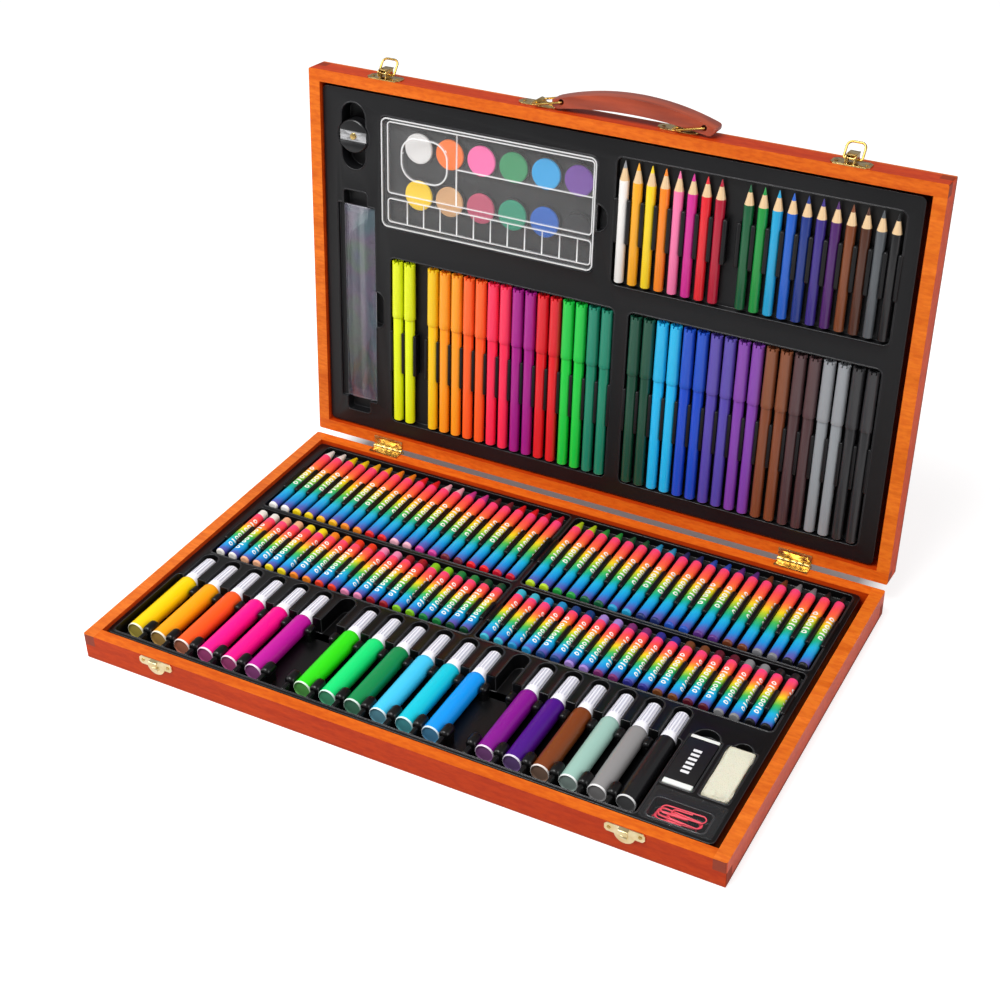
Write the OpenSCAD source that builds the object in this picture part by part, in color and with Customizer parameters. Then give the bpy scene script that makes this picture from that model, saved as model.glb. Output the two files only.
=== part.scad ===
/* [Case] */
// Outside width of the case, along the hinges
case_w = 470; // [462:1:500]
// Outside depth of the case, front to back
case_d = 291; // [287:1:305]
// Height of the base half, rails and panel together
base_h = 20.5; // [20.2:0.1:23]
// Height of the lid half, rails and panel together
lid_h = 20; // [19.8:0.1:22]
// Thickness of the side, front and back rails
rail_t = 9; // [7:0.5:9.5]
// Thickness of the plywood panels
panel_t = 3.4; // [2.8:0.1:3.5]
// Radius of the rounded outer edges
edge_r = 1.4; // [0.5:0.1:2.5]
// How far the lid stands open
open_angle = 95; // [60:1:95]

/* [Hinges] */
// Thickness of the brass leaves
leaf_t = 1; // [0.6:0.1:1.2]
// Width of a hinge along the case
hinge_w = 25; // [20:1:30]
// Depth of a leaf from the back face onto the rim
leaf_depth = 7; // [5:0.5:8.5]
// Distance from the middle of the case to each hinge
hinge_span = 168.7; // [140:0.1:200]
// Outer radius of the knuckles
knuckle_r = 1.6; // [1.4:0.05:1.65]
// Diameter of the hinge pins
hinge_pin_d = 1.4; // [1:0.1:1.6]
// Distance of the hinge pins behind the back face
hinge_back = 1.7; // [1.7:0.05:2]

/* [Latches] */
// Distance from the middle of the case to each latch
latch_span = 172; // [140:0.1:200]
// Width of a latch plate
latch_w = 26.5; // [24:0.5:30]
// Length of a latch plate, away from the rim
latch_plate_d = 12; // [11.5:0.5:14]
// Thickness of the latch plates and strikes
plate_t = 0.8; // [0.6:0.1:1]
// Outer width of the folded lever
lever_w = 7; // [6.6:0.1:8]
// Thickness of the lever's sheet
lever_t = 0.7; // [0.5:0.1:0.8]
// Distance from the lever's pin to its free end
lever_l = 7.4; // [7:0.1:9]
// Diameter of the wire loops
loop_wire = 1.6; // [1.2:0.1:1.7]
// Distance from a loop's pivot to its bar
loop_l = 11.4; // [11.2:0.1:11.5]
// Width between the loop's leg centre lines
loop_w = 12.4; // [11.6:0.1:14]

/* [Handle] */
// Length of the grip
grip_l = 119; // [110:1:140]
// Thickness of the grip across the lid's edge
grip_t = 14; // [11:0.5:14.5]
// Height of the grip at its middle
grip_h = 10.5; // [8:0.5:13]
// Distance between the two links' pivots
handle_span = 104; // [96:1:112]
// Diameter of the wire links
link_wire = 1.6; // [1.2:0.1:2]
// Distance between a link's two pivots
link_l = 20.5; // [18:0.5:24]
// How far the links lie above the lid's edge when the grip has dropped to one side
link_rest = 13.3; // [12:0.1:20]

/* [Trays] */
// Distance of both trays below the rims
tray_drop = 3; // [2.6:0.1:3.4]
// Wall of the formed sheet
tray_wall = 0.8; // [0.6:0.1:1]
// Play of both trays between the side rails
tray_play_w = 5; // [2:0.5:6]
// Play of both trays between the front and back rails
tray_play_d = 4; // [2:0.5:4.5]
// Height of the raised lip round each recess
lip_h = 0.4; // [0.2:0.1:0.8]
// Depth of the stick centres below the tray
stick_sink = 1.8; // [1.4:0.1:2.2]

/* [Crayons and pastels] */
// Diameter of the wax crayons and oil pastels
wax_d = 7.4; // [6.8:0.1:7.5]
// Length of a crayon
crayon_l = 86; // [80:1:88]
// Length of an oil pastel
pastel_l = 57.5; // [50:0.5:59]
// Thickness of the paper wrappers
paper_t = 0.2; // [0.1:0.05:0.3]
// Spacing of the crayons and pastels
wax_pitch = 10.68; // [10.5:0.01:10.7]

/* [Pencils and pens] */
// Diameter of the pencils
pencil_d = 6.9; // [6.4:0.1:7]
// Length of a pencil
pencil_l = 87.5; // [80:0.5:89]
// Spacing of the pencils
pencil_pitch = 10; // [9.9:0.01:10.05]
// Diameter of a pen's barrel
pen_d = 7.7; // [7:0.1:7.8]
// Diameter of a pen's cap
pen_cap_d = 9; // [8.6:0.1:9.2]
// Length of a pen with its cap on
pen_l = 131.5; // [128:0.5:132.5]
// Length of a pen's cap
pen_cap_l = 45; // [40:0.5:46]
// Spacing of the pens
pen_pitch = 10.15; // [10.1:0.01:10.2]

/* [Markers] */
// Diameter of a marker's barrel
marker_d = 13.4; // [12.6:0.1:13.6]
// Diameter of a marker's cap
marker_cap_d = 11.6; // [10.8:0.1:11.8]
// Length of a marker with its cap on
marker_l = 89; // [85:0.5:91]
// Length of a marker's cap
marker_cap_l = 27; // [24:0.5:28]
// Depth of the marker centres below the tray
marker_sink = 5.1; // [4.9:0.1:5.3]
// Spacing of the markers
marker_pitch = 19.5; // [19.2:0.1:19.6]

/* [Loose contents] */
// Width of the paint box
paint_w = 172; // [168:0.5:173]
// Depth of the paint box
paint_d = 82.6; // [80:0.1:84]
// Diameter of the paint tablets
pan_d = 22.3; // [20:0.1:24]
// Width of the ruler
ruler_w = 27; // [24:0.5:28]
// Length of the ruler
ruler_l = 158; // [154:1:159]
// Diameter of the sharpener
sharpener_d = 24.8; // [23:0.1:25.2]
// Length of the eraser
eraser_l = 48; // [44:0.5:49]
// Width of the eraser
eraser_w = 20; // [18:0.5:21]
// Width of the sponge
sponge_w = 18; // [16:0.5:19]
// Diameter of the paper clips' wire
clip_wire = 0.9; // [0.7:0.1:1.1]

/* [Hidden] */
$fn = 48;

closed_gap = 2.2;                        // space between the rims of the closed case
leaf_gap = closed_gap - 2 * leaf_t;      // space between the folded leaves
hinge_y = case_d / 2 + hinge_back;
hinge_z = base_h + closed_gap / 2;
fittings_x = -1.7;                       // all brassware sits this far off the middle
pin_gap = 0.05;                          // radial running clearance of every pin
knuckles = 5;
knuckle_gap = 0.1;
stop_r = 3.8;                            // reach of the hinge's stop fins
stop_t = 0.8;
stop_play = 0.03;                        // each fin stays this far from the line where they meet
full_open = 95;                          // the fins stop the lid here
tray_floor_gap = 0.3;                    // between a deep pocket and the panel
deep_floor = base_h - tray_drop - panel_t - tray_wall - tray_floor_gap;
nail_d = 1.2;
nail_head_d = 2.6;
nail_head_h = 0.5;
nail_l = 6;
cut = 1;                                 // overshoot of every through cut

wood = "#e2701c";
wood_dark = "#b4521a";
brass = "#d2ae5e";
black = "#1c1c1e";
clear = "#cfd6da";

// The lid is modelled shut, rim down on the base, and swung open about the hinge pins.
module open_lid() {
    translate([0, hinge_y, hinge_z])
        rotate([-open_angle, 0, 0])
            translate([0, -hinge_y, -hinge_z])
                children();
}

// A frame on the lid's rim: X to the right, Y up from the hinged edge, Z out of the tray.
module lid_face() {
    open_lid()
        translate([0, case_d / 2, base_h + closed_gap])
            rotate([180, 0, 0])
                children();
}

// The same frame on the base's rim, with Y to the back.
module base_face() {
    translate([0, 0, base_h])
        children();
}

// ---------------------------------------------------------------- plain helpers

module rounded(x0, y0, x1, y1, r) {
    translate([x0 + r, y0])
        square([x1 - x0 - 2 * r, y1 - y0]);
    translate([x0, y0 + r])
        square([x1 - x0, y1 - y0 - 2 * r]);
    for (x = [x0 + r, x1 - r], y = [y0 + r, y1 - r])
        translate([x, y])
            circle(r);
}

module slab(box, r, top, bottom, grow = 0) {
    translate([0, 0, bottom])
        linear_extrude(top - bottom)
            rounded(box[0] - grow, box[1] - grow, box[2] + grow, box[3] + grow, r + grow);
}

module along_x(x0, x1) {
    translate([x0, 0, 0])
        rotate([90, 0, 90])
            linear_extrude(x1 - x0)
                children();
}

module along_y(y0, y1) {
    translate([0, y1, 0])
        rotate([90, 0, 0])
            linear_extrude(y1 - y0)
                children();
}

module rod(d, y0, y1) {
    translate([0, y1, 0])
        rotate([90, 0, 0])
            cylinder(d = d, h = y1 - y0);
}

module cross_pin(d, x0, x1) {
    translate([x0, 0, 0])
        rotate([0, 90, 0])
            cylinder(d = d, h = x1 - x0);
}

// A wire bail: two ends turned in at y = 0, two legs, and a bar at y = l.
module wire_bail(w, l, d, bar_r, end_r, end_l) {
    cross_pin_at([-w / 2 + bar_r, l, 0], d, w - 2 * bar_r);
    for (side = [0, 1])
        mirror([side, 0, 0]) {
            translate([w / 2 - bar_r, l - bar_r, 0])
                rotate_extrude(angle = 90)
                    translate([bar_r, 0])
                        circle(d = d);
            translate([w / 2, end_r, 0])
                rod(d, 0, l - bar_r - end_r);
            translate([w / 2 - end_r, end_r, 0])
                rotate([0, 0, -90])
                    rotate_extrude(angle = 90)
                        translate([end_r, 0])
                            circle(d = d);
            cross_pin_at([w / 2 - end_l, 0, 0], d, end_l - end_r);
        }
}

module cross_pin_at(at, d, l) {
    translate(at)
        cross_pin(d, 0, l);
}

module nail(l = nail_l) {
    translate([0, 0, -l])
        cylinder(d = nail_d, h = l);
    intersection() {
        translate([0, 0, nail_head_h - nail_head_d])
            sphere(nail_head_d);
        cylinder(d = nail_head_d, h = nail_head_h);
    }
}

// ---------------------------------------------------------------- wooden case

// The outer form of one half, with every outer edge rounded except the rim.
module half_block(h) {
    intersection() {
        slab([-case_w / 2, -case_d / 2, case_w / 2, case_d / 2], edge_r, h, 0);
        along_y(-case_d / 2 - cut, case_d / 2 + cut)
            half_profile(case_w / 2, h);
        along_x(-case_w / 2 - cut, case_w / 2 + cut)
            half_profile(case_d / 2, h);
    }
}

module half_profile(half_w, h) {
    translate([-half_w, edge_r])
        square([2 * half_w, h - edge_r]);
    translate([-half_w + edge_r, 0])
        square([2 * (half_w - edge_r), 2 * edge_r]);
    for (x = [-half_w + edge_r, half_w - edge_r])
        translate([x, edge_r])
            circle(edge_r);
}

module panel(h) {
    intersection() {
        half_block(h);
        translate([-case_w, -case_d, -cut])
            cube([2 * case_w, 2 * case_d, panel_t + cut]);
    }
}

// One rail, with a finger joint at each corner. The long rails have the low finger in the
// base and the high one in the lid, so that their end grain shows on the same side.
module rail(h, long, side, high_finger) {
    rail_h = h - panel_t;
    split_z = panel_t + rail_h / 2;
    own_z = high_finger ? [split_z, h] : [panel_t, split_z];
    half_l = long ? case_w / 2 : case_d / 2;
    reach = long ? case_d / 2 : case_w / 2;
    turn = long ? 0 : 90;
    intersection() {
        half_block(h);
        rotate([0, 0, turn])
            translate([0, side * (reach - rail_t / 2), 0]) {
                translate([-half_l + rail_t, -rail_t / 2, panel_t])
                    cube([2 * (half_l - rail_t), rail_t, rail_h]);
                translate([-half_l, -rail_t / 2, own_z[0]])
                    cube([2 * half_l, rail_t, own_z[1] - own_z[0]]);
            }
    }
}

module base_front_rail() {
    color(wood) rail(base_h, true, -1, false);
}

module base_back_rail() {
    color(wood) rail(base_h, true, 1, false);
}

module base_left_rail() {
    color(wood_dark) rail(base_h, false, 1, true);
}

module base_right_rail() {
    color(wood_dark) rail(base_h, false, -1, true);
}

module base_panel() {
    color(wood_dark) panel(base_h);
}

// The lid half is the base half turned over, with its panel up.
module lid_shell_frame() {
    open_lid()
        translate([0, 0, base_h + closed_gap + lid_h])
            mirror([0, 0, 1])
                children();
}

module lid_front_rail() {
    color(wood) lid_shell_frame() rail(lid_h, true, -1, true);
}

module lid_back_rail() {
    color(wood) lid_shell_frame() rail(lid_h, true, 1, true);
}

module lid_left_rail() {
    color(wood_dark) lid_shell_frame() rail(lid_h, false, 1, false);
}

module lid_right_rail() {
    color(wood_dark) lid_shell_frame() rail(lid_h, false, -1, false);
}

module lid_panel() {
    color(wood_dark) lid_shell_frame() panel(lid_h);
}

// ---------------------------------------------------------------- hinges

module at_hinges() {
    for (x = [-hinge_span, hinge_span])
        translate([fittings_x + x, hinge_y, hinge_z])
            children();
}

// A leaf seen shut, from the pin: side 1 is the lid's upper leaf, side -1 the base's.
module hinge_leaf(side) {
    first = side > 0 ? 1 : 0;
    pitch = hinge_w / knuckles;
    leaf_z = side > 0 ? leaf_gap / 2 : -closed_gap / 2;
    difference() {
        union() {
            translate([-hinge_w / 2, -hinge_back - leaf_depth, leaf_z])
                cube([hinge_w, leaf_depth, leaf_t]);
            for (i = [first:2:knuckles - 1])
                translate([-hinge_w / 2 + i * pitch + knuckle_gap / 2, 0, 0]) {
                    cross_pin(2 * knuckle_r, 0, pitch - knuckle_gap);
                    translate([0, -hinge_back - 0.2, leaf_z])
                        cube([pitch - knuckle_gap, hinge_back + 0.2, leaf_t]);
                    stop_fin(side, 0, pitch - knuckle_gap, knuckle_r - 0.4);
                }
            stop_fin(side, -hinge_w / 2, hinge_w / 2, knuckle_r + 0.15);
        }
        cross_pin(hinge_pin_d + 2 * pin_gap, -hinge_w, hinge_w);
        for (x = [-hinge_w / 3, hinge_w / 3])
            translate([x, -hinge_back - leaf_depth / 2, leaf_z - cut])
                cylinder(d = nail_d + 2 * pin_gap, h = leaf_t + 2 * cut);
    }
}

// The fins meet behind the barrel when the lid has opened by the full angle.
module stop_fin(side, x0, x1, from_r) {
    rotate([side * full_open / 2, 0, 0])
        translate([x0, from_r, side > 0 ? stop_play : -stop_t - stop_play])
            cube([x1 - x0, stop_r - from_r, stop_t]);
}

module hinge_base_leaves() {
    color(brass) at_hinges() hinge_leaf(-1);
}

module hinge_lid_leaves() {
    color(brass) open_lid() at_hinges() hinge_leaf(1);
}

module hinge_pins() {
    color(brass) at_hinges() cross_pin(hinge_pin_d, -hinge_w / 2, hinge_w / 2);
}

module flush_nail() {
    translate([0, 0, -nail_l])
        cylinder(d = nail_d, h = nail_l);
}

module hinge_base_nails() {
    color(brass)
        at_hinges()
            for (x = [-hinge_w / 3, hinge_w / 3])
                translate([x, -hinge_back - leaf_depth / 2, -closed_gap / 2 + leaf_t])
                    flush_nail();
}

module hinge_lid_nails() {
    color(brass)
        open_lid()
            at_hinges()
                for (x = [-hinge_w / 3, hinge_w / 3])
                    translate([x, -hinge_back - leaf_depth / 2, leaf_gap / 2])
                        mirror([0, 0, 1])
                            flush_nail();
}

// ---------------------------------------------------------------- draw latches

lever_pivot = [3.2, 4.1];                // from the rim, and above the lid's front face
lever_r = 2.9;
loop_pivot = [7, 2.7];
loop_lean = 53.9;                        // from the lid's panel side, with the latch open
loop_bar_r = 3.6;
loop_end_r = 1.2;
latch_nail_x = 10.2;
latch_nail_d = 5.7;
ear_x = 1.9;                             // inner face of each ear
ear_t = 0.7;
lever_base = 1.2;                        // lever's lower edge above the lid's front face
lever_notch = 0.6;                       // the lever's sheet starts this far before the pin

// A frame on the lid's front face: X right, Y away from the rim, Z out of the face.
module front_face() {
    lid_face()
        translate([0, case_d, 0])
            rotate([-90, 0, 0])
                children();
}

module at_latches(sides = [-1, 1]) {
    for (side = sides)
        translate([fittings_x + side * latch_span, 0, 0])
            children();
}

module latch_outline(w, l, corner) {
    polygon([
        [-w / 2 + corner, 0], [w / 2 - corner, 0], [w / 2, corner], [w / 2, l - corner],
        [w / 2 - corner, l], [-w / 2 + corner, l], [-w / 2, l - corner], [-w / 2, corner]
    ]);
}

module latch_plate() {
    linear_extrude(plate_t)
        difference() {
            latch_outline(latch_w, latch_plate_d, 2.5);
            for (x = [-latch_nail_x, latch_nail_x])
                translate([x, latch_nail_d])
                    circle(d = nail_d + 2 * pin_gap);
        }
    for (side = [0, 1])
        mirror([side, 0, 0])
            ear();
}

module ear() {
    difference() {
        union() {
            along_x(ear_x, ear_x + ear_t)
                translate([lever_pivot[0] - 1.5, plate_t / 2])
                    square([3, lever_pivot[1] - plate_t / 2]);
            translate([0, lever_pivot[0], lever_pivot[1]])
                cross_pin(3, ear_x, ear_x + ear_t);
        }
        translate([0, lever_pivot[0], lever_pivot[1]])
            cross_pin(hinge_pin_d, 0, lever_w);
    }
}

module latch_plates() {
    color(brass) front_face() at_latches() latch_plate();
}

module latch_pins() {
    color(brass)
        front_face()
            at_latches()
                translate([0, lever_pivot[0], lever_pivot[1]])
                    cross_pin(hinge_pin_d, -lever_w / 2 - 0.3, lever_w / 2 + 0.3);
}

module latch_nails() {
    color(brass)
        front_face()
            at_latches()
                for (x = [-latch_nail_x, latch_nail_x])
                    translate([x, latch_nail_d, plate_t])
                        nail();
}

// The lever's side view, drawn in by e all round: a nose round the pin and a straight tail.
module lever_profile(e) {
    translate(lever_pivot)
        circle(lever_r - e);
    translate([lever_pivot[0], lever_base + (e > 0 ? -cut : 0)])
        square([lever_l - e, lever_pivot[1] + lever_r - lever_base - e + (e > 0 ? cut : 0)]);
}

// Its sides clasp the ears; over the ears the sheet is cut away, so that it can swing past them.
module latch_lever() {
    difference() {
        union() {
            along_x(-lever_w / 2, lever_w / 2)
                lever_profile(0);
            translate([-lever_w / 2, lever_pivot[0] + lever_l - 0.1, lever_pivot[1] + lever_r - lever_t])
                cube([lever_w, 1.3, lever_t]);
        }
        along_x(-lever_w / 2 + lever_t, lever_w / 2 - lever_t) {
            lever_profile(lever_t);
            translate([lever_pivot[0] - lever_r - cut, lever_base - cut]) {
                square([lever_r + cut, lever_pivot[1] - lever_base + cut]);
                square([lever_r + cut - lever_notch, 2 * (lever_r + cut)]);
            }
        }
        translate([0, lever_pivot[0], lever_pivot[1]])
            cross_pin(hinge_pin_d + 2 * pin_gap, -lever_w, lever_w);
        translate([0, loop_pivot[0], loop_pivot[1]])
            cross_pin(loop_wire + 2 * pin_gap, -lever_w, lever_w);
    }
}

module latch_lever_left() {
    color(brass) front_face() at_latches([-1]) latch_lever();
}

module latch_lever_right() {
    color(brass) front_face() at_latches([1]) latch_lever();
}

// The loop's ends turn in the lever's sides and reach half a millimetre into it.
module latch_loop() {
    end_l = loop_w / 2 - lever_w / 2 + lever_t + 0.5;
    translate([0, loop_pivot[0], loop_pivot[1]])
        rotate([loop_lean, 0, 0])
            wire_bail(loop_w, loop_l, loop_wire, loop_bar_r, loop_end_r, end_l);
}

module latch_loop_left() {
    color(brass) front_face() at_latches([-1]) latch_loop();
}

module latch_loop_right() {
    color(brass) front_face() at_latches([1]) latch_loop();
}

strike_top = base_h - 0.3;
strike_band = 6.6;                       // height of the strike's nailed band
strike_moon_r = 7;
hook_w = 6.4;
hook_t = 0.9;
hook_reach = 4.1;
hook_lip = 2.3;
bead_r = 1.2;                            // rolled bead under the hook

// A frame on the base's front face: X right, Y up, Z out of the face.
module strike_frame() {
    translate([0, -case_d / 2, 0])
        rotate([90, 0, 0])
            at_latches()
                children();
}

module strike_plate() {
    linear_extrude(plate_t)
        difference() {
            union() {
                translate([0, strike_top - strike_band])
                    latch_outline(latch_w, strike_band, 1.6);
                translate([0, strike_top - strike_band + 1.6])
                    circle(strike_moon_r);
            }
            translate([-latch_w / 2, strike_top])
                square([latch_w, strike_moon_r]);
            for (x = [-latch_nail_x, latch_nail_x])
                translate([x, strike_top - strike_band / 2])
                    circle(d = nail_d + 2 * pin_gap);
        }
    along_x(-hook_w / 2, hook_w / 2)
        rotate(90)
            mirror([0, 1])
                hook_profile();
    translate([0, strike_top - strike_band - 0.4, bead_r])
        cross_pin(2 * bead_r, -hook_w / 2 + 1, hook_w / 2 - 1);
}

// Side view of the hook: out from the plate along X, then a lip turned down.
module hook_profile() {
    translate([plate_t / 2, strike_top - hook_t])
        square([hook_reach - plate_t / 2 - hook_t, hook_t]);
    translate([hook_reach - hook_t, strike_top - hook_t])
        intersection() {
            circle(hook_t);
            square(hook_t);
        }
    translate([hook_reach - hook_t, strike_top - hook_t - hook_lip])
        square([hook_t, hook_lip]);
}

module strike_plates() {
    color(brass) strike_frame() strike_plate();
}

module strike_nails() {
    color(brass)
        strike_frame()
            for (x = [-latch_nail_x, latch_nail_x])
                translate([x, strike_top - strike_band / 2, plate_t])
                    nail();
}

// ---------------------------------------------------------------- carrying handle

handle_mid = (3.2 + 17.2) / 2;           // middle of the grip, from the rim
handle_plate_w = 30;
handle_plate_l = 12;
handle_plate_t = plate_t + 0.2;
hump_r = 2.3;
link_low = 1.9;                          // the links' lower pivots above the lid's front face
link_span = grip_t + link_wire + 0.4;    // between the leg centre lines
link_bar_r = 2.2;
link_end_r = 1.2;
link_end_l = 5.5;
handle_nail_x = 11;
grip_sag = 5;                            // height of the holes above the grip's underside
grip_outer_r = 180;
grip_inner_r = 300;
grip_hole_d = 4;

module handle_frame() {
    front_face()
        translate([fittings_x, handle_mid, 0])
            children();
}

module handle_plate() {
    difference() {
        union() {
            slab([-handle_plate_w / 2, -handle_plate_l / 2, handle_plate_w / 2, handle_plate_l / 2],
                 handle_plate_l / 2 - 0.1, handle_plate_t, 0);
            along_y(-handle_plate_l / 2 + 0.6, handle_plate_l / 2 - 0.6)
                translate([0, link_low])
                    circle(hump_r);
            translate([-hump_r - 0.9, -handle_plate_l / 2 + 0.6, 0])
                cube([2 * hump_r + 1.8, handle_plate_l - 1.2, link_low]);
        }
        translate([-hump_r * 4, -handle_plate_l, -hump_r * 3])
            cube([hump_r * 8, handle_plate_l * 2, hump_r * 3]);
        translate([0, 0, link_low])
            rod(link_wire + 2 * pin_gap, -handle_plate_l, handle_plate_l);
        for (x = [-handle_nail_x, handle_nail_x])
            translate([x, 0, -cut])
                cylinder(d = nail_d + 2 * pin_gap, h = plate_t + 3 * cut);
    }
}

module handle_plates() {
    color(brass)
        handle_frame()
            for (x = [-handle_span / 2, handle_span / 2])
                translate([x, 0, 0])
                    handle_plate();
}

module handle_nails() {
    color(brass)
        handle_frame()
            for (x = [-handle_span / 2, handle_span / 2], dx = [-handle_nail_x, handle_nail_x])
                translate([x + dx, 0, handle_plate_t])
                    nail();
}

// The link's bar turns in the hump; its ends turn in the grip's holes.
module handle_link(side) {
    handle_frame()
        translate([side * handle_span / 2, 0, link_low])
            rotate([0, 90 - link_rest, 0])
                rotate([0, 0, 90])
                    rotate([90, 0, 0])
                        translate([0, link_l, 0])
                            rotate([180, 0, 0])
                                wire_bail(link_span, link_l, link_wire, link_bar_r, link_end_r, link_end_l);
}

module handle_link_left() {
    color(brass) handle_link(-1);
}

module handle_link_right() {
    color(brass) handle_link(1);
}

// The grip's side view about the line of its holes, between two arcs, with rounded ends.
module grip_profile() {
    low = -grip_sag;
    mid_low = low + grip_inner_r - sqrt(pow(grip_inner_r, 2) - pow(grip_l / 2 - 5, 2));
    intersection() {
        translate([0, mid_low + grip_h - grip_outer_r])
            circle(grip_outer_r, $fn = 360);
        rounded(-grip_l / 2, low, grip_l / 2, grip_sag + grip_h, 4.6);
        difference() {
            translate([-grip_l, low])
                square([2 * grip_l, 4 * grip_h]);
            translate([0, mid_low - grip_inner_r])
                circle(grip_inner_r, $fn = 360);
        }
    }
}

module handle_grip() {
    rest = [link_l * cos(link_rest), link_low + link_l * sin(link_rest)];
    color("#8e3b24")
        handle_frame()
            translate([rest[0], 0, rest[1]])
                difference() {
                    intersection() {
                        along_y(-grip_t / 2, grip_t / 2)
                            grip_profile();
                        along_x(-grip_l, grip_l)
                            rounded(-grip_t / 2, -grip_sag - grip_h, grip_t / 2, 2 * grip_h, 3);
                        slab([-grip_l / 2 - 1, -grip_t / 2 - 0.4, grip_l / 2 + 1, grip_t / 2 + 0.4], 5,
                             3 * grip_h, -3 * grip_h);
                    }
                    for (x = [-handle_span / 2, handle_span / 2])
                        translate([x, 0, 0])
                            rod(grip_hole_d, -grip_t, grip_t);
                }
}

// ---------------------------------------------------------------- formed trays

tray_top = -tray_drop;
panel_z = -(base_h - panel_t);           // the base panel's inner face, below the rim
lid_panel_z = -(lid_h - panel_t);
tray_w = case_w - 2 * rail_t - tray_play_w;
tray_d = case_d - 2 * rail_t - tray_play_d;
tray_r = 4;
row_margin = 0.4;

// Clip ridges: [width of the neck, radius of the head, height above the tray, rounding of the ends]
wax_ridge = [2.6, 1.9, 2, 1.6];
marker_clip = [5.2, 3.4, 1.6, 1.5];
marker_saddle = [5.2, 2.6, -1.2, 1.4];
pencil_ridge = [2.4, 1.7, 1.4, 1.5];
pen_ridge = [2, 1.4, 1.2, 1.3];

base_tray_x = -case_w / 2 + rail_t + 0.2;
base_tray_y = case_d / 2 - rail_t - 0.3 - tray_d;
lid_tray_x = -case_w / 2 + rail_t + 0.8;
lid_tray_y = rail_t + 1.4;

// The sheet: a flat top with a turned-down skirt, and pockets let into it.
// A pocket is [box, corner radius, depth below the sheet].
module tray(box, pockets, foot) {
    difference() {
        union() {
            difference() {
                union() {
                    slab(box, tray_r, tray_top, foot);
                    difference() {
                        slab(box, tray_r, tray_top + lip_h, tray_top - tray_wall / 2);
                        slab(box, tray_r, tray_top + 2 * lip_h, tray_top - tray_wall, -1.3);
                    }
                }
                slab(box, tray_r, tray_top - tray_wall, foot - cut, -tray_wall);
            }
            for (p = pockets)
                slab(p[0], p[1], tray_top + lip_h, tray_top - p[2] - tray_wall, tray_wall);
        }
        for (p = pockets)
            slab(p[0], p[1], tray_top + cut, tray_top - p[2]);
    }
}

// A ridge's side view: its ends are eased in three steps of a quarter round.
module eased_profile(y0, y1, low, top, r) {
    steps = [for (a = [0:30:60]) [r * (1 - cos(a)), top - r + r * sin(a)]];
    run_out = [2 * r, top + r * (1 - sin(60)) * 2];
    near = concat([[0, low]], steps, [run_out]);
    polygon(concat([for (p = near) [y0 + p[0], p[1]]],
                   [for (i = [len(near) - 1:-1:0]) [y1 - near[i][0], near[i][1]]]));
}

// A row of clip ridges between sticks: each has a narrow neck and a rounded head.
module clip_row(first, pitch, count, ridge, deep, y) {
    neck = ridge[0];
    head_r = ridge[1];
    rise = ridge[2];
    intersection() {
        along_y(y[0] - cut, y[1] + cut)
            for (i = [0:count - 1])
                translate([first + i * pitch, tray_top]) {
                    translate([-neck / 2, -deep - tray_wall / 2])
                        square([neck, deep + tray_wall / 2 + rise - head_r]);
                    translate([0, rise - head_r])
                        circle(head_r);
                }
        along_x(first - pitch, first + count * pitch)
            translate([0, tray_top])
                eased_profile(y[0], y[1], -deep - tray_wall, rise, ridge[3]);
    }
}

side_x = case_w / 2;                     // the case's side faces
paint_at = [58.6 - side_x, 181.2];
pencil_gap = 20.1;                       // from the paint box to the first pencil's centre

// As many places as fit between two centre lines.
function places(from, to, pitch) = 1 + floor((to - from) / pitch);

// A row of sticks: [first centre, count, empty place counted from the left, or -1]
function row_between(from, to, pitch, empty = -1) = [from, places(from, to, pitch), empty];

crayon_rows = [
    row_between(23.8 - side_x, -7.5, wax_pitch),
    row_between(7.75, side_x - 23, wax_pitch)
];
pencil_row = row_between(paint_at[0] + paint_w + pencil_gap, side_x - 28, pencil_pitch, 8);
pen_rows = [
    row_between(71.3 - side_x, 10, pen_pitch, 2),
    row_between(31.1, side_x - 30, pen_pitch)
];
marker_row = row_between(23.5 - side_x, side_x - 74, marker_pitch, [6, 13]);

function row_box(row, pitch, y0, y1) = [
    row[0] - pitch / 2 - row_margin, y0,
    row[0] + (row[1] - 0.5) * pitch + row_margin, y1
];

crayon_y = 45.5;                         // the crayons' lower ends
crayon_box_y = [42.5, 133];
pastel_y = -21.8;
pastel_box_y = [-25, 38.5];
crayon_ridge_y = [69, 100];
pastel_ridge_y = [-7, 14];
pencil_y = 177.9;
pencil_box_y = [175.5, 267.5];
pencil_ridge_y = [206.5, 239];
pen_y = 24;
pen_box_y = [22, 157.5];
pen_ridge_y = [64.5, 98.5];
marker_y = -120;
marker_trough = [13 - side_x, -129.5, side_x - 65.5, marker_y + marker_l - marker_cap_l + 1];
marker_pocket_w = marker_cap_d + 0.6;
marker_pocket_y = [marker_trough[3] - marker_pocket_w / 2 - 1, -27.5];
marker_saddle_y = [-68, -62];
marker_clip_y = [-127.5, -109];

eraser_at = [side_x - 63, -97];
sponge_at = [side_x - 37.5, -97];
eraser_h = 11;
eraser_rise = 1;
rubber_gap = 0.5;                        // round the eraser and the sponge
clip_well = [side_x - 60, -127.3, side_x - 22.5, -110];
clip_well_depth = 8;
clip_cover_box = [side_x - 63.5, -130.8, side_x - 16.5, -101.5];

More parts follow.
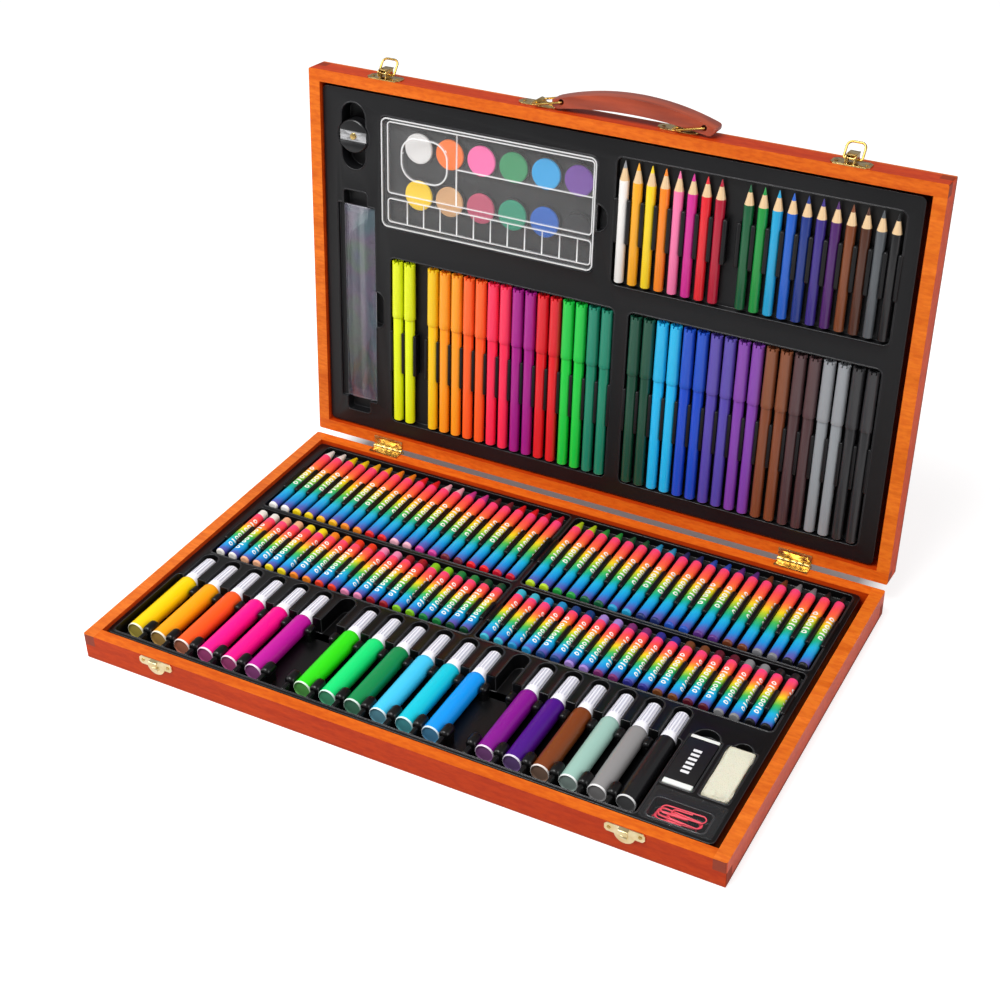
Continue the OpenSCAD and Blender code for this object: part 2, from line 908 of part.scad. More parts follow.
paint_h = 11;
paint_rise = 0.2;                        // the paint box stands this far above the tray
ruler_at = [25 - side_x, 34];
ruler_t = 2;
ruler_drop = 0.5;                        // the ruler lies this far below the tray
sharpener_at = [35.4 - side_x, 245.2];
sharpener_h = 9.5;
sharpener_rise = 1.5;
finger_slot = [20, 49.6, 11.5];          // slot that crosses the sharpener's place: width, length, depth
notch_w = 20;                            // finger notches at the ruler's ends
notch_reach = 11.5;
notch_side_y = [64, 93];                 // finger notch beside the ruler, from the ruler's lower end
notch_side_reach = 7.5;
notch_lap = 6;                           // how far each notch runs under the ruler

function wax_depth() = stick_sink + wax_d / 2;
function pencil_depth() = stick_sink + pencil_d / 2;
function pen_depth() = stick_sink + pen_cap_d / 2;
function marker_depth() = marker_sink + marker_d / 2;

function base_pockets() = concat(
    [for (row = crayon_rows) [row_box(row, wax_pitch, crayon_box_y[0], crayon_box_y[1]), 3, wax_depth()]],
    [for (row = crayon_rows) [row_box(row, wax_pitch, pastel_box_y[0], pastel_box_y[1]), 3, wax_depth()]],
    [for (i = [0:marker_row[1] - 1])
        [[marker_row[0] + i * marker_pitch - marker_pocket_w / 2, marker_pocket_y[0],
          marker_row[0] + i * marker_pitch + marker_pocket_w / 2, marker_pocket_y[1]],
         marker_pocket_w / 2 - 0.05, marker_depth()]],
    [[marker_trough, 3, marker_depth()]],
    [for (p = [[eraser_at, eraser_w], [sponge_at, sponge_w]])
        [[p[0][0] - rubber_gap, p[0][1] - rubber_gap,
          p[0][0] + p[1] + rubber_gap, p[0][1] + eraser_l + rubber_gap], 1.5, eraser_h - eraser_rise]],
    [[clip_well, 3, clip_well_depth]]
);

// Round notches for a fingertip behind the eraser and the sponge, each [middle, radius].
moons = [
    [eraser_at[0] + eraser_w / 2, eraser_w / 2 - 1.4],
    [sponge_at[0] + sponge_w / 2, sponge_w / 2 - 2.8]
];
moon_y = eraser_at[1] + eraser_l - 0.5;
moon_depth = 6;

module finger_moons(grow, top) {
    for (m = moons)
        translate([m[0], moon_y, tray_top - moon_depth - grow])
            cylinder(r = m[1] + grow, h = top - tray_top + moon_depth + grow);
}

module base_tray() {
    box = [base_tray_x, base_tray_y, base_tray_x + tray_w, base_tray_y + tray_d];
    color(black)
        base_face() {
            difference() {
                union() {
                    tray(box, base_pockets(), panel_z);
                    difference() {
                        finger_moons(tray_wall, tray_top + lip_h);
                        translate([moons[0][0] - 2 * moons[0][1], moon_y - eraser_l, tray_top - eraser_h])
                            cube([3 * eraser_l, eraser_l + 1, 2 * eraser_h]);
                    }
                }
                finger_moons(0, tray_top + cut);
            }
            for (row = crayon_rows, y = [crayon_ridge_y, pastel_ridge_y])
                clip_row(row[0] - wax_pitch / 2, wax_pitch, row[1] + 1, wax_ridge, wax_depth(), y);
            for (ridge = [[marker_clip, marker_clip_y], [marker_saddle, marker_saddle_y]])
                clip_row(marker_row[0] + marker_pitch / 2, marker_pitch, marker_row[1] - 1,
                         ridge[0], marker_depth(), ridge[1]);
        }
}

function lid_pockets() = concat(
    [[row_box(pencil_row, pencil_pitch, pencil_box_y[0], pencil_box_y[1]), 4.5, pencil_depth()]],
    [for (row = pen_rows) [row_box(row, pen_pitch, pen_box_y[0], pen_box_y[1]), 4, pen_depth()]],
    [[[paint_at[0] - 0.6, paint_at[1] - 0.6, paint_at[0] + paint_w + 0.6, paint_at[1] + paint_d + 0.6],
      5, paint_h - paint_rise]],
    [[[ruler_at[0] - 4.2, ruler_at[1] - 0.8, ruler_at[0] + ruler_w + 0.6, ruler_at[1] + ruler_l + 0.8],
      1, ruler_t + ruler_drop]],
    [[[sharpener_at[0] - finger_slot[0] / 2, sharpener_at[1] - finger_slot[1] / 2,
       sharpener_at[0] + finger_slot[0] / 2, sharpener_at[1] + finger_slot[1] / 2],
      finger_slot[0] / 2 - 0.1, finger_slot[2]]]
);

// Finger notches that run into the pockets of the ruler and the paint box, and the sharpener's round place.
module lid_notches(deep, grow, top) {
    mid_x = ruler_at[0] + ruler_w / 2 - 2.6;
    for (y = [[-notch_reach, notch_lap], [ruler_l - notch_lap, ruler_l + notch_reach]])
        slab([mid_x - notch_w / 2, ruler_at[1] + y[0], mid_x + notch_w / 2, ruler_at[1] + y[1]], 2.5,
             top, tray_top - deep - grow, grow);
    slab([ruler_at[0] + ruler_w - notch_lap, ruler_at[1] + notch_side_y[0],
          ruler_at[0] + ruler_w + notch_side_reach, ruler_at[1] + notch_side_y[1]], 6.5,
         top, tray_top - deep - grow, grow);
    translate([paint_at[0] + paint_w, paint_at[1] + paint_d / 2 - 1, tray_top - deep - grow])
        cylinder(r = notch_w / 2 + grow, h = top - tray_top + deep + grow);
    translate([sharpener_at[0], sharpener_at[1], tray_top - deep - grow])
        cylinder(d = sharpener_d + 1 + 2 * grow, h = top - tray_top + deep + grow);
}

module lid_tray() {
    box = [lid_tray_x, lid_tray_y, lid_tray_x + tray_w, lid_tray_y + tray_d];
    color(black)
        lid_face() {
            difference() {
                union() {
                    tray(box, lid_pockets(), lid_panel_z);
                    difference() {
                        lid_notches(sharpener_h - sharpener_rise, tray_wall, tray_top + lip_h);
                        for (p = lid_pockets())
                            slab(p[0], p[1], tray_top + cut, tray_top - p[2]);
                    }
                }
                lid_notches(sharpener_h - sharpener_rise, 0, tray_top + cut);
            }
            clip_row(pencil_row[0] - pencil_pitch / 2, pencil_pitch, pencil_row[1] + 1,
                     pencil_ridge, pencil_depth(), pencil_ridge_y);
            for (row = pen_rows)
                clip_row(row[0] - pen_pitch / 2, pen_pitch, row[1] + 1, pen_ridge, pen_depth(), pen_ridge_y);
        }
}

// ---------------------------------------------------------------- crayons and pastels

module wax_row(row, y) {
    for (i = [0:row[1] - 1])
        translate([row[0] + i * wax_pitch, y, tray_top - stick_sink])
            children();
}

module spun() {
    rotate([-90, 0, 0])
        rotate_extrude()
            children();
}

crayon_tip = 9;
crayon_end = 2.2;

module crayon_stick() {
    r = wax_d / 2;
    bare = r - paper_t;
    spun()
        polygon([
            [0, 0], [r - 0.8, 0], [bare, 0.6], [bare, crayon_l - crayon_tip - 0.5],
            [r - 0.5, crayon_l - crayon_tip], [1.1, crayon_l - 0.4], [0.6, crayon_l], [0, crayon_l]
        ]);
}

module wrapper(y0, y1) {
    difference() {
        rod(wax_d, y0, y1);
        rod(wax_d - 2 * paper_t, y0 - cut, y1 + cut);
    }
}

module crayon_sticks() {
    color("#d8344a") base_face() for (row = crayon_rows) wax_row(row, crayon_y) crayon_stick();
}

module crayon_wrappers() {
    color("#f0803c")
        base_face()
            for (row = crayon_rows)
                wax_row(row, crayon_y)
                    wrapper(crayon_end, crayon_l - crayon_tip - 1.5);
}

pastel_bare = 7;

module pastel_stick() {
    r = wax_d / 2 - paper_t;
    spun()
        polygon([
            [0, 0], [r - 0.7, 0], [r, 0.7], [r, pastel_l - 1.2],
            [r - 1.2, pastel_l], [0, pastel_l]
        ]);
}

module pastel_sticks() {
    color("#7a4fb0") base_face() for (row = crayon_rows) wax_row(row, pastel_y) pastel_stick();
}

module pastel_wrappers() {
    color("#f06a50")
        base_face()
            for (row = crayon_rows)
                wax_row(row, pastel_y)
                    wrapper(crayon_end - 0.7, pastel_l - pastel_bare);
}

// ---------------------------------------------------------------- markers

module marker_places() {
    for (i = [0:marker_row[1] - 1])
        if (i != marker_row[2][0] && i != marker_row[2][1])
            translate([marker_row[0] + i * marker_pitch, marker_y, tray_top - marker_sink])
                children();
}

marker_wall = 1.1;
marker_neck_l = 10;
marker_plug_l = 2;

// A barrel that narrows to a neck, which the cap slides over, and is open at its foot.
module marker_barrels() {
    body_l = marker_l - marker_cap_l;
    r = marker_d / 2;
    neck_r = marker_cap_d / 2 - marker_wall - 0.05;
    color("#f04a9a")
        base_face()
            marker_places()
                spun()
                    polygon([
                        [r - marker_wall, 0], [r - 0.3, 0], [r, 0.4], [r, body_l - 3],
                        [marker_cap_d / 2 + 0.1, body_l], [neck_r, body_l],
                        [neck_r, body_l + marker_neck_l], [0, body_l + marker_neck_l],
                        [0, marker_plug_l + 0.6], [r - marker_wall, marker_plug_l + 0.6]
                    ]);
}

module marker_caps() {
    base_l = marker_l - marker_cap_l + 0.1;
    r = marker_cap_d / 2;
    color("white")
        base_face()
            marker_places()
                spun()
                    polygon([
                        [r - marker_wall, base_l], [r, base_l], [r, base_l + 5], [r - 0.4, base_l + 6],
                        [r - 0.9, marker_l - 0.8], [r - 1.7, marker_l], [0, marker_l],
                        [0, marker_l - marker_wall], [r - 2, marker_l - marker_wall - 2],
                        [r - 2, base_l + marker_neck_l + 0.4], [r - marker_wall, base_l + marker_neck_l]
                    ]);
}

module marker_plugs() {
    r = marker_d / 2 - marker_wall;
    color("#8c4a60")
        base_face()
            marker_places()
                spun()
                    polygon([
                        [0, 0.8], [r - 1.2, 0.8], [r - 0.9, 0.3], [r, 0.3],
                        [r, marker_plug_l + 0.6], [0, marker_plug_l + 0.6]
                    ]);
}

// ---------------------------------------------------------------- pencils and pens

module pencil_places() {
    for (i = [0:pencil_row[1] - 1])
        if (i != pencil_row[2])
            translate([pencil_row[0] + i * pencil_pitch, pencil_y, tray_top - stick_sink])
                children();
}

cone_l = 13.5;
lead_l = 5;
lead_r = 1.4;

module pencil_barrels() {
    color("#e8442c")
        lid_face()
            pencil_places()
                difference() {
                    rod(pencil_d, 0, pencil_l - cone_l);
                    rod(2 * lead_r, -cut, pencil_l);
                }
}

module pencil_cones() {
    r = pencil_d / 2;
    color("#e6c49a")
        lid_face()
            pencil_places()
                spun()
                    polygon([
                        [lead_r, pencil_l - cone_l], [r, pencil_l - cone_l],
                        [lead_r + 0.05, pencil_l - lead_l], [lead_r, pencil_l - lead_l]
                    ]);
}

module pencil_leads() {
    color("#7a2a30")
        lid_face()
            pencil_places()
                spun()
                    polygon([
                        [0, 0], [lead_r, 0], [lead_r, pencil_l - lead_l],
                        [0.25, pencil_l - 0.2], [0, pencil_l]
                    ]);
}

module pen_places() {
    for (row = pen_rows, i = [0:row[1] - 1])
        if (i != row[2])
            translate([row[0] + i * pen_pitch, pen_y, tray_top - stick_sink])
                children();
}

pen_neck_l = 14;

module pen_barrels() {
    cap_y = pen_l - pen_cap_l;
    r = pen_d / 2;
    color("#e83c6a")
        lid_face()
            pen_places()
                spun()
                    polygon([
                        [0, 0.6], [r - 0.9, 0.6], [r - 0.9, 0], [r - 0.3, 0], [r, 0.4],
                        [r, cap_y - 0.1], [r - 0.6, cap_y + 0.4],
                        [r - 0.6, cap_y + pen_neck_l], [0, cap_y + pen_neck_l]
                    ]);
}

module pen_caps() {
    cap_y = pen_l - pen_cap_l;
    r = pen_cap_d / 2;
    color("#e83c6a")
        lid_face()
            pen_places()
                difference() {
                    spun()
                        polygon([
                            [r - 0.9, cap_y + 0.2], [r, cap_y + 0.2], [r - 0.25, pen_l - 0.3], [r - 0.6, pen_l],
                            [r - 1.4, pen_l], [r - 1.4, pen_l - 3], [0, pen_l - 3],
                            [0, cap_y + pen_neck_l + 0.5], [r - 1.2, cap_y + pen_neck_l + 0.5]
                        ]);
                    translate([-r, pen_l - 2, -0.5])
                        cube([2 * r, 2 + cut, 1]);
                    translate([-0.5, pen_l - 2, -r])
                        cube([1, 2 + cut, 2 * r]);
                }
}

// ---------------------------------------------------------------- loose contents

paint_base_h = 6.4;
paint_wall = 1.2;
pan_pitch = 25.66;
pan_first = 27.8;                        // from the paint box's left and lower edges
pan_rows = [26.5, 61.7];
pan_columns = places(pan_first, paint_w - 15.5, pan_pitch);
pan_h = 4;
palette_rise = 2;

module paint_frame() {
    lid_face()
        translate([paint_at[0], paint_at[1], tray_top + paint_rise - paint_h])
            children();
}

module at_pans() {
    for (i = [0:pan_columns - 1], y = pan_rows)
        translate([pan_first + i * pan_pitch, y, paint_wall])
            children();
}

module paint_box() {
    color(black)
        paint_frame() {
            difference() {
                slab([0, 0, paint_w, paint_d], 5, paint_base_h, 0);
                slab([0, 0, paint_w, paint_d], 5, paint_base_h + cut, paint_wall, -paint_wall);
            }
            at_pans()
                translate([0, 0, -paint_wall / 2])
                    difference() {
                        cylinder(d = pan_d + 2.2, h = pan_h * 0.6 + paint_wall / 2);
                        cylinder(d = pan_d + 0.2, h = pan_h * 3, center = true);
                    }
        }
}

module paint_tablets() {
    color("#d84a3a")
        paint_frame()
            at_pans()
                rotate_extrude()
                    polygon([[0, 0], [pan_d / 2, 0], [pan_d / 2, pan_h - 0.6], [pan_d / 2 - 0.6, pan_h], [0, pan_h]]);
}

wall_root = 0.2;                         // the palette's walls start this far inside the cover
wall_drop = 0.4;                         // and its inner walls end this far below the rings

cross_x = 62;                            // the palette's upright wall
rib_first = 21.2;
rib_pitch = 13.8;

// Palette rings: [box, corner radius, thickness]. Palette walls: [x, y, length, depth].
palette_rings = [
    [[0, 0, paint_w, paint_d], 5, 1],
    [[5.2, 4.2, paint_w - 1.4, 23], 3, 0.9],
    [[5.2, 26.4, paint_w - 1.4, paint_d - 2.2], 3, 0.9],
    [[16.6, 38.6, 55.4, 71.4], 13, 1.2]
];
palette_walls = concat(
    [[cross_x - 0.2, 27, 1.2, paint_d - 29.4], [cross_x, 53.6, paint_w - cross_x - 2, 1]],
    [for (i = [0:places(rib_first, paint_w - 12, rib_pitch) - 1]) [rib_first + i * rib_pitch, 5, 1, 17.4]]
);

// The clear lid: a shallow cover whose raised walls make a mixing palette.
module paint_lid() {
    top_z = paint_h - palette_rise;
    lid_wall = 1.1;
    color(clear)
        paint_frame() {
            difference() {
                slab([0, 0, paint_w, paint_d], 5, top_z, paint_base_h + 0.05);
                slab([0, 0, paint_w, paint_d], 5, top_z - lid_wall, paint_base_h - cut, -paint_wall);
            }
            for (ring = palette_rings)
                difference() {
                    slab(ring[0], ring[1], paint_h, top_z - wall_root);
                    slab(ring[0], ring[1], paint_h + cut, top_z - cut, -ring[2]);
                }
            for (wall = palette_walls)
                translate([wall[0], wall[1], top_z - wall_root])
                    cube([wall[2], wall[3], palette_rise + wall_root - wall_drop]);
        }
}

module ruler() {
    color(clear)
        lid_face()
            translate([ruler_at[0], ruler_at[1], tray_top - ruler_t - ruler_drop])
                along_y(0, ruler_l)
                    polygon([
                        [0, 0], [ruler_w, 0], [ruler_w, 0.8], [ruler_w - 6, ruler_t],
                        [6, ruler_t], [0, 0.8]
                    ]);
}

blade_w = 22;
blade_l = 8;
blade_t = 0.8;
blade_sink = 1.6;                        // depth of the blade's slot
screw_d = 2.5;

module sharpener_frame() {
    lid_face()
        translate([sharpener_at[0], sharpener_at[1], tray_top + sharpener_rise - sharpener_h])
            children();
}

// A round sharpener: the blade lies in a slot over the tapered hole for the pencil.
module sharpener_body() {
    color(black)
        sharpener_frame()
            difference() {
                rotate_extrude()
                    polygon([
                        [0, 0], [sharpener_d / 2 - 0.8, 0], [sharpener_d / 2, 0.8],
                        [sharpener_d / 2, sharpener_h - 0.8], [sharpener_d / 2 - 0.8, sharpener_h],
                        [0, sharpener_h]
                    ]);
                translate([-sharpener_d, -blade_l / 2 - 0.1, sharpener_h - blade_sink])
                    cube([2 * sharpener_d, blade_l + 0.2, 2 * blade_sink]);
                translate([-sharpener_d, -blade_l / 2 + 0.6, sharpener_h / 2 + 0.8])
                    cube([sharpener_d - 4, 1.6, sharpener_h]);
                translate([0, 0, sharpener_h / 2 - 0.4])
                    rotate([0, 90, 0])
                        cylinder(d1 = 7.8, d2 = 1.5, h = sharpener_d + 5.2, center = true);
                cylinder(d = screw_d, h = 3 * sharpener_h, center = true);
            }
}

module sharpener_blade() {
    color("silver")
        sharpener_frame()
            difference() {
                translate([-blade_w / 2, -blade_l / 2, sharpener_h - blade_sink])
                    cube([blade_w, blade_l, blade_t]);
                cylinder(d = screw_d + 2 * pin_gap, h = 3 * sharpener_h, center = true);
            }
}

module sharpener_screw() {
    color(brass)
        sharpener_frame()
            difference() {
                union() {
                    translate([0, 0, sharpener_h - 7])
                        cylinder(d = screw_d, h = 6.4);
                    translate([0, 0, sharpener_h - blade_sink + blade_t])
                        cylinder(d = 4.4, h = 1);
                }
                translate([-3, -0.35, sharpener_h - 0.3])
                    cube([6, 0.7, 2]);
            }
}

sleeve_t = 0.3;
sleeve_y = [3.6, 44.6];

module block(w, l, h, r) {
    intersection() {
        slab([0, 0, w, l], r, h, 0);
        along_y(-cut, l + cut)
            rounded(0, 0, w, h, r);
    }
}

module eraser() {
    color("white")
        base_face()
            translate([eraser_at[0] + sleeve_t, eraser_at[1], tray_top + eraser_rise - eraser_h + sleeve_t])
                block(eraser_w - 2 * sleeve_t, eraser_l, eraser_h - 2 * sleeve_t, 1);
}

module eraser_sleeve() {
    color(black)
        base_face()
            translate([eraser_at[0], eraser_at[1], tray_top + eraser_rise - eraser_h])
                along_y(sleeve_y[0], sleeve_y[1])
                    difference() {
                        square([eraser_w, eraser_h]);
                        translate([sleeve_t, sleeve_t])
                            square([eraser_w - 2 * sleeve_t, eraser_h - 2 * sleeve_t]);
                    }
}

module sponge() {
    color("#ece6cf")
        base_face()
            translate([sponge_at[0], sponge_at[1], tray_top + eraser_rise - eraser_h])
                block(sponge_w, eraser_l, eraser_h, 1.6);
}

// One bent wire clip: three turns joined by straight legs.
module paper_clip() {
    for (a = [[0, 0, 3.4, 90], [22, 0.4, 3, -90], [6, -0.3, 2.3, 90]])
        translate([a[0], a[1], 0])
            rotate([0, 0, a[3]])
                rotate_extrude(angle = 180)
                    translate([a[2], 0])
                        circle(d = clip_wire, $fn = 16);
    for (leg = [[0, 3.4, 22], [0, -3.4, 14], [6, -2.6, 16], [6, 2, 10]])
        translate([leg[0], leg[1], 0])
            cross_pin(clip_wire, 0, leg[2], $fn = 16);
}

module paper_clips() {
    color("#e8506a")
        base_face()
            for (i = [0:5])
                translate([clip_well[0] + 5.4 + i * 0.8, clip_well[1] + 7 + (i % 3) * 1.9,
                           tray_top - clip_well_depth + 1 + i * 1.1])
                    rotate([0, 0, -4 + (i % 2) * 6])
                        paper_clip();
}

module clip_cover() {
    color(clear)
        base_face()
            slab(clip_cover_box, 2, tray_top + lip_h + 0.4, tray_top + lip_h);
}

base_front_rail();
base_back_rail();
base_left_rail();
base_right_rail();
base_panel();
base_tray();
lid_front_rail();
lid_back_rail();
lid_left_rail();
lid_right_rail();
lid_panel();
lid_tray();
hinge_base_leaves();
hinge_lid_leaves();
hinge_pins();
hinge_base_nails();
hinge_lid_nails();
latch_plates();
latch_pins();
latch_nails();
strike_plates();
strike_nails();
latch_lever_left();
latch_lever_right();
latch_loop_left();
latch_loop_right();
handle_plates();
handle_nails();
handle_link_left();
handle_link_right();
handle_grip();
crayon_sticks();
crayon_wrappers();
pastel_sticks();
pastel_wrappers();
marker_barrels();
marker_caps();
marker_plugs();
pencil_barrels();
pencil_cones();
pencil_leads();
pen_barrels();
pen_caps();
paint_box();
paint_tablets();
paint_lid();
ruler();
sharpener_body();
sharpener_blade();
sharpener_screw();
eraser();
eraser_sleeve();
sponge();
paper_clips();
clip_cover();
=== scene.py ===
import math
import random

import bpy
from mathutils import Matrix, Vector


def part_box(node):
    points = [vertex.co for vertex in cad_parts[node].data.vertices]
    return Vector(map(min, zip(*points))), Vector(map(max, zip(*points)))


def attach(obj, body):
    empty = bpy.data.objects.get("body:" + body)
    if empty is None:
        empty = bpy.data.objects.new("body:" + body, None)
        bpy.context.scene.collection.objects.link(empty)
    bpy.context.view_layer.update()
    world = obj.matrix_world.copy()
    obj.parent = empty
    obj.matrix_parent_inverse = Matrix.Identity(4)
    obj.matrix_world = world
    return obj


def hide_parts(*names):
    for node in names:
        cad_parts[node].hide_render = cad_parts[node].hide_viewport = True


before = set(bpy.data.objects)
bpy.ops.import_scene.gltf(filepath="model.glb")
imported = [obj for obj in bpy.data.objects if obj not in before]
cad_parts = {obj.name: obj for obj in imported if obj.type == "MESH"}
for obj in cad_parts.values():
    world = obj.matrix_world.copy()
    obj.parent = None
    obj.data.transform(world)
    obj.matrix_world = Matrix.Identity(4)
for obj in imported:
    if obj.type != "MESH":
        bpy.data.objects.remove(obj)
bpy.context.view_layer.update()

# -------- camera, floor and light
# The camera stands in front of the case and to its right, and looks down on it. The case stands on a
# white floor in a dim white room, under a broad lamp high in front and two weaker ones at its sides. The
# floor shows white to the camera, but for the strip of it that is seen between the two halves.

camera_at = (0.4688, -0.8275, 0.7556)
camera_azimuth, camera_elevation, camera_roll = 28.209, 33.977, -0.868
sensor_width, focal_length = 36.0, 62.785
bpy.ops.object.select_all(action="DESELECT")
bpy.ops.object.camera_add()
camera = bpy.context.object
camera.matrix_world = (Matrix.Translation(camera_at)
                       @ Matrix.Rotation(math.radians(camera_azimuth), 4, "Z")
                       @ Matrix.Rotation(math.radians(90 - camera_elevation), 4, "X")
                       @ Matrix.Rotation(math.radians(camera_roll), 4, "Z"))
camera.data.sensor_width = sensor_width
camera.data.lens = focal_length
camera.data.shift_x, camera.data.shift_y = -0.01919, -0.00243
bpy.context.scene.camera = camera
bpy.context.scene.view_settings.view_transform = "Standard"


def colour(code):
    """A colour written #rrggbb, as the shader's linear red, green, blue and alpha."""
    parts = [int(code[i:i + 2], 16) / 255 for i in (1, 3, 5)]
    return tuple(c / 12.92 if c < 0.04045 else ((c + 0.055) / 1.055) ** 2.4 for c in parts) + (1.0,)


def finish_named(name, roughness, **sockets):
    """A new material, its node tree and its shader, with plain values set on the shader's sockets."""
    made = bpy.data.materials.new(name)
    made.use_nodes = True
    shader = made.node_tree.nodes["Principled BSDF"]
    shader.inputs["Roughness"].default_value = roughness
    for socket, value in sockets.items():
        shader.inputs[socket.replace("_", " ")].default_value = value
    return made, made.node_tree, shader


def add_node(tree, kind, inputs=(), **settings):
    """A shader node; inputs are (socket's name or number, value or socket to read)."""
    node = tree.nodes.new(kind)
    for key, value in settings.items():
        setattr(node, key, value)
    for socket, value in inputs:
        if isinstance(value, bpy.types.NodeSocket):
            tree.links.new(value, node.inputs[socket])
        else:
            node.inputs[socket].default_value = value
    return node


def calc(tree, operation, a, b=0.0, c=0.0, clamp=False):
    """One step of arithmetic in a material, on numbers or sockets."""
    node = add_node(tree, "ShaderNodeMath", [(0, a), (1, b), (2, c)], operation=operation, use_clamp=clamp)
    return node.outputs[0]


def own(tree, what="Object"):
    """A point's place on its piece, in metres, or the way that the surface faces there."""
    return add_node(tree, "ShaderNodeTexCoord").outputs[what]


def area_lamp(name, at, aim, size, watts):
    """A rectangular lamp that stands at one point and faces another."""
    bpy.ops.object.light_add(type="AREA", location=at)
    lamp = bpy.context.object
    lamp.name = name
    lamp.data.shape = "RECTANGLE"
    lamp.data.size, lamp.data.size_y = size
    lamp.data.energy = watts
    lamp.rotation_euler = (Vector(aim) - Vector(at)).to_track_quat("-Z", "Y").to_euler()


area_lamp("lamp_front", (-0.3, -0.7, 1.55), (0.0, 0.05, 0.08), (1.1, 0.7), 23.5)
area_lamp("lamp_left", (-1.2, -0.5, 0.75), (-0.4, -0.2, 0.0), (0.7, 0.9), 5.5)
area_lamp("lamp_right", (1.5, -0.1, 0.6), (0.1, 0.1, 0.1), (0.8, 1.0), 8.0)

white, room_light = (1.0, 1.0, 1.0, 1.0), 0.36
room = bpy.data.worlds.new("white_room")
room.use_nodes = True
room.node_tree.nodes["Background"].inputs["Color"].default_value = white
room.node_tree.nodes["Background"].inputs["Strength"].default_value = room_light
bpy.context.scene.world = room

floor_size, floor_glow = 12, 0.62
strip_half_length, strip_half_width, strip_middle = 0.226, 0.045, 0.15
strip_edge = 12.0  # how steeply the glow falls off at the edge of the strip
bpy.ops.mesh.primitive_plane_add(size=floor_size)
floor = bpy.context.object
floor.name = "floor"
floor_paint, floor_tree, floor_shader = finish_named("floor_paint", 0.9, Base_Color=colour("#d8d8d8"),
                                                     Emission_Color=white)
floor_place = add_node(floor_tree, "ShaderNodeSeparateXYZ", [(0, own(floor_tree))])
across = calc(floor_tree, "ABSOLUTE", floor_place.outputs[0])
from_middle = calc(floor_tree, "ABSOLUTE", calc(floor_tree, "SUBTRACT", floor_place.outputs[1], strip_middle))
out_of_strip = calc(floor_tree, "MAXIMUM", calc(floor_tree, "DIVIDE", across, strip_half_length),
                    calc(floor_tree, "DIVIDE", from_middle, strip_half_width))
lit = calc(floor_tree, "MULTIPLY_ADD", out_of_strip, strip_edge, 1.0 - strip_edge, clamp=True)
seen = add_node(floor_tree, "ShaderNodeLightPath").outputs["Is Camera Ray"]
glow = calc(floor_tree, "MULTIPLY", calc(floor_tree, "MULTIPLY", seen, lit), floor_glow)
floor_tree.links.new(glow, floor_shader.inputs["Emission Strength"])
floor.data.materials.append(floor_paint)

# -------- wooden rails and panels
# Four rails of light wood make each half, finger-jointed at the corners, with a thin panel glued on.
# The wood is stained orange. The outer faces are lacquered redder, and end grain takes up more stain.


def ramp(tree, factor, stops):
    """A colour ramp; stops are (place, colour code)."""
    node = add_node(tree, "ShaderNodeValToRGB", [("Fac", factor)])
    while len(node.color_ramp.elements) < len(stops):
        node.color_ramp.elements.new(1.0)
    for element, (place, code) in zip(node.color_ramp.elements, stops):
        element.position = place
        element.color = colour(code)
    return node.outputs["Color"]


def blended(tree, factor, a, b, kind="MIX"):
    """Two colours mixed, or one multiplied by the other, by a factor."""
    node = add_node(tree, "ShaderNodeMix", [(0, factor), (6, a), (7, b)], data_type="RGBA", blend_type=kind)
    return node.outputs[2]


def grainy(tree, scale, detail=3.0, stretch=(1.0, 1.0, 1.0), turn=(0.0, 0.0, 0.0)):
    """Noise on the piece's own coordinates, turned and stretched along the piece."""
    mapped = add_node(tree, "ShaderNodeMapping",
                      [("Vector", own(tree)), ("Rotation", turn), ("Scale", stretch)])
    return add_node(tree, "ShaderNodeTexNoise",
                    [("Vector", mapped.outputs[0]), ("Scale", scale), ("Detail", detail)]).outputs["Fac"]


def component(tree, vector, axis):
    """How far a vector reaches along an axis."""
    node = add_node(tree, "ShaderNodeVectorMath", [(0, vector), (1, axis)], operation="DOT_PRODUCT")
    return node.outputs["Value"]


def show(tree, shader, source):
    """The surface takes its colour from this socket."""
    tree.links.new(source, shader.inputs["Base Color"])


def bumped(tree, shader, height, strength, distance):
    """Gives the surface small heights; the distance is in metres."""
    node = add_node(tree, "ShaderNodeBump",
                    [("Height", height), ("Strength", strength), ("Distance", distance)])
    tree.links.new(node.outputs["Normal"], shader.inputs["Normal"])


lacquer, end_stain = "#e49c58", "#5a1c04"
pore_share, fade_share, end_share = 0.36, 0.3, 0.6


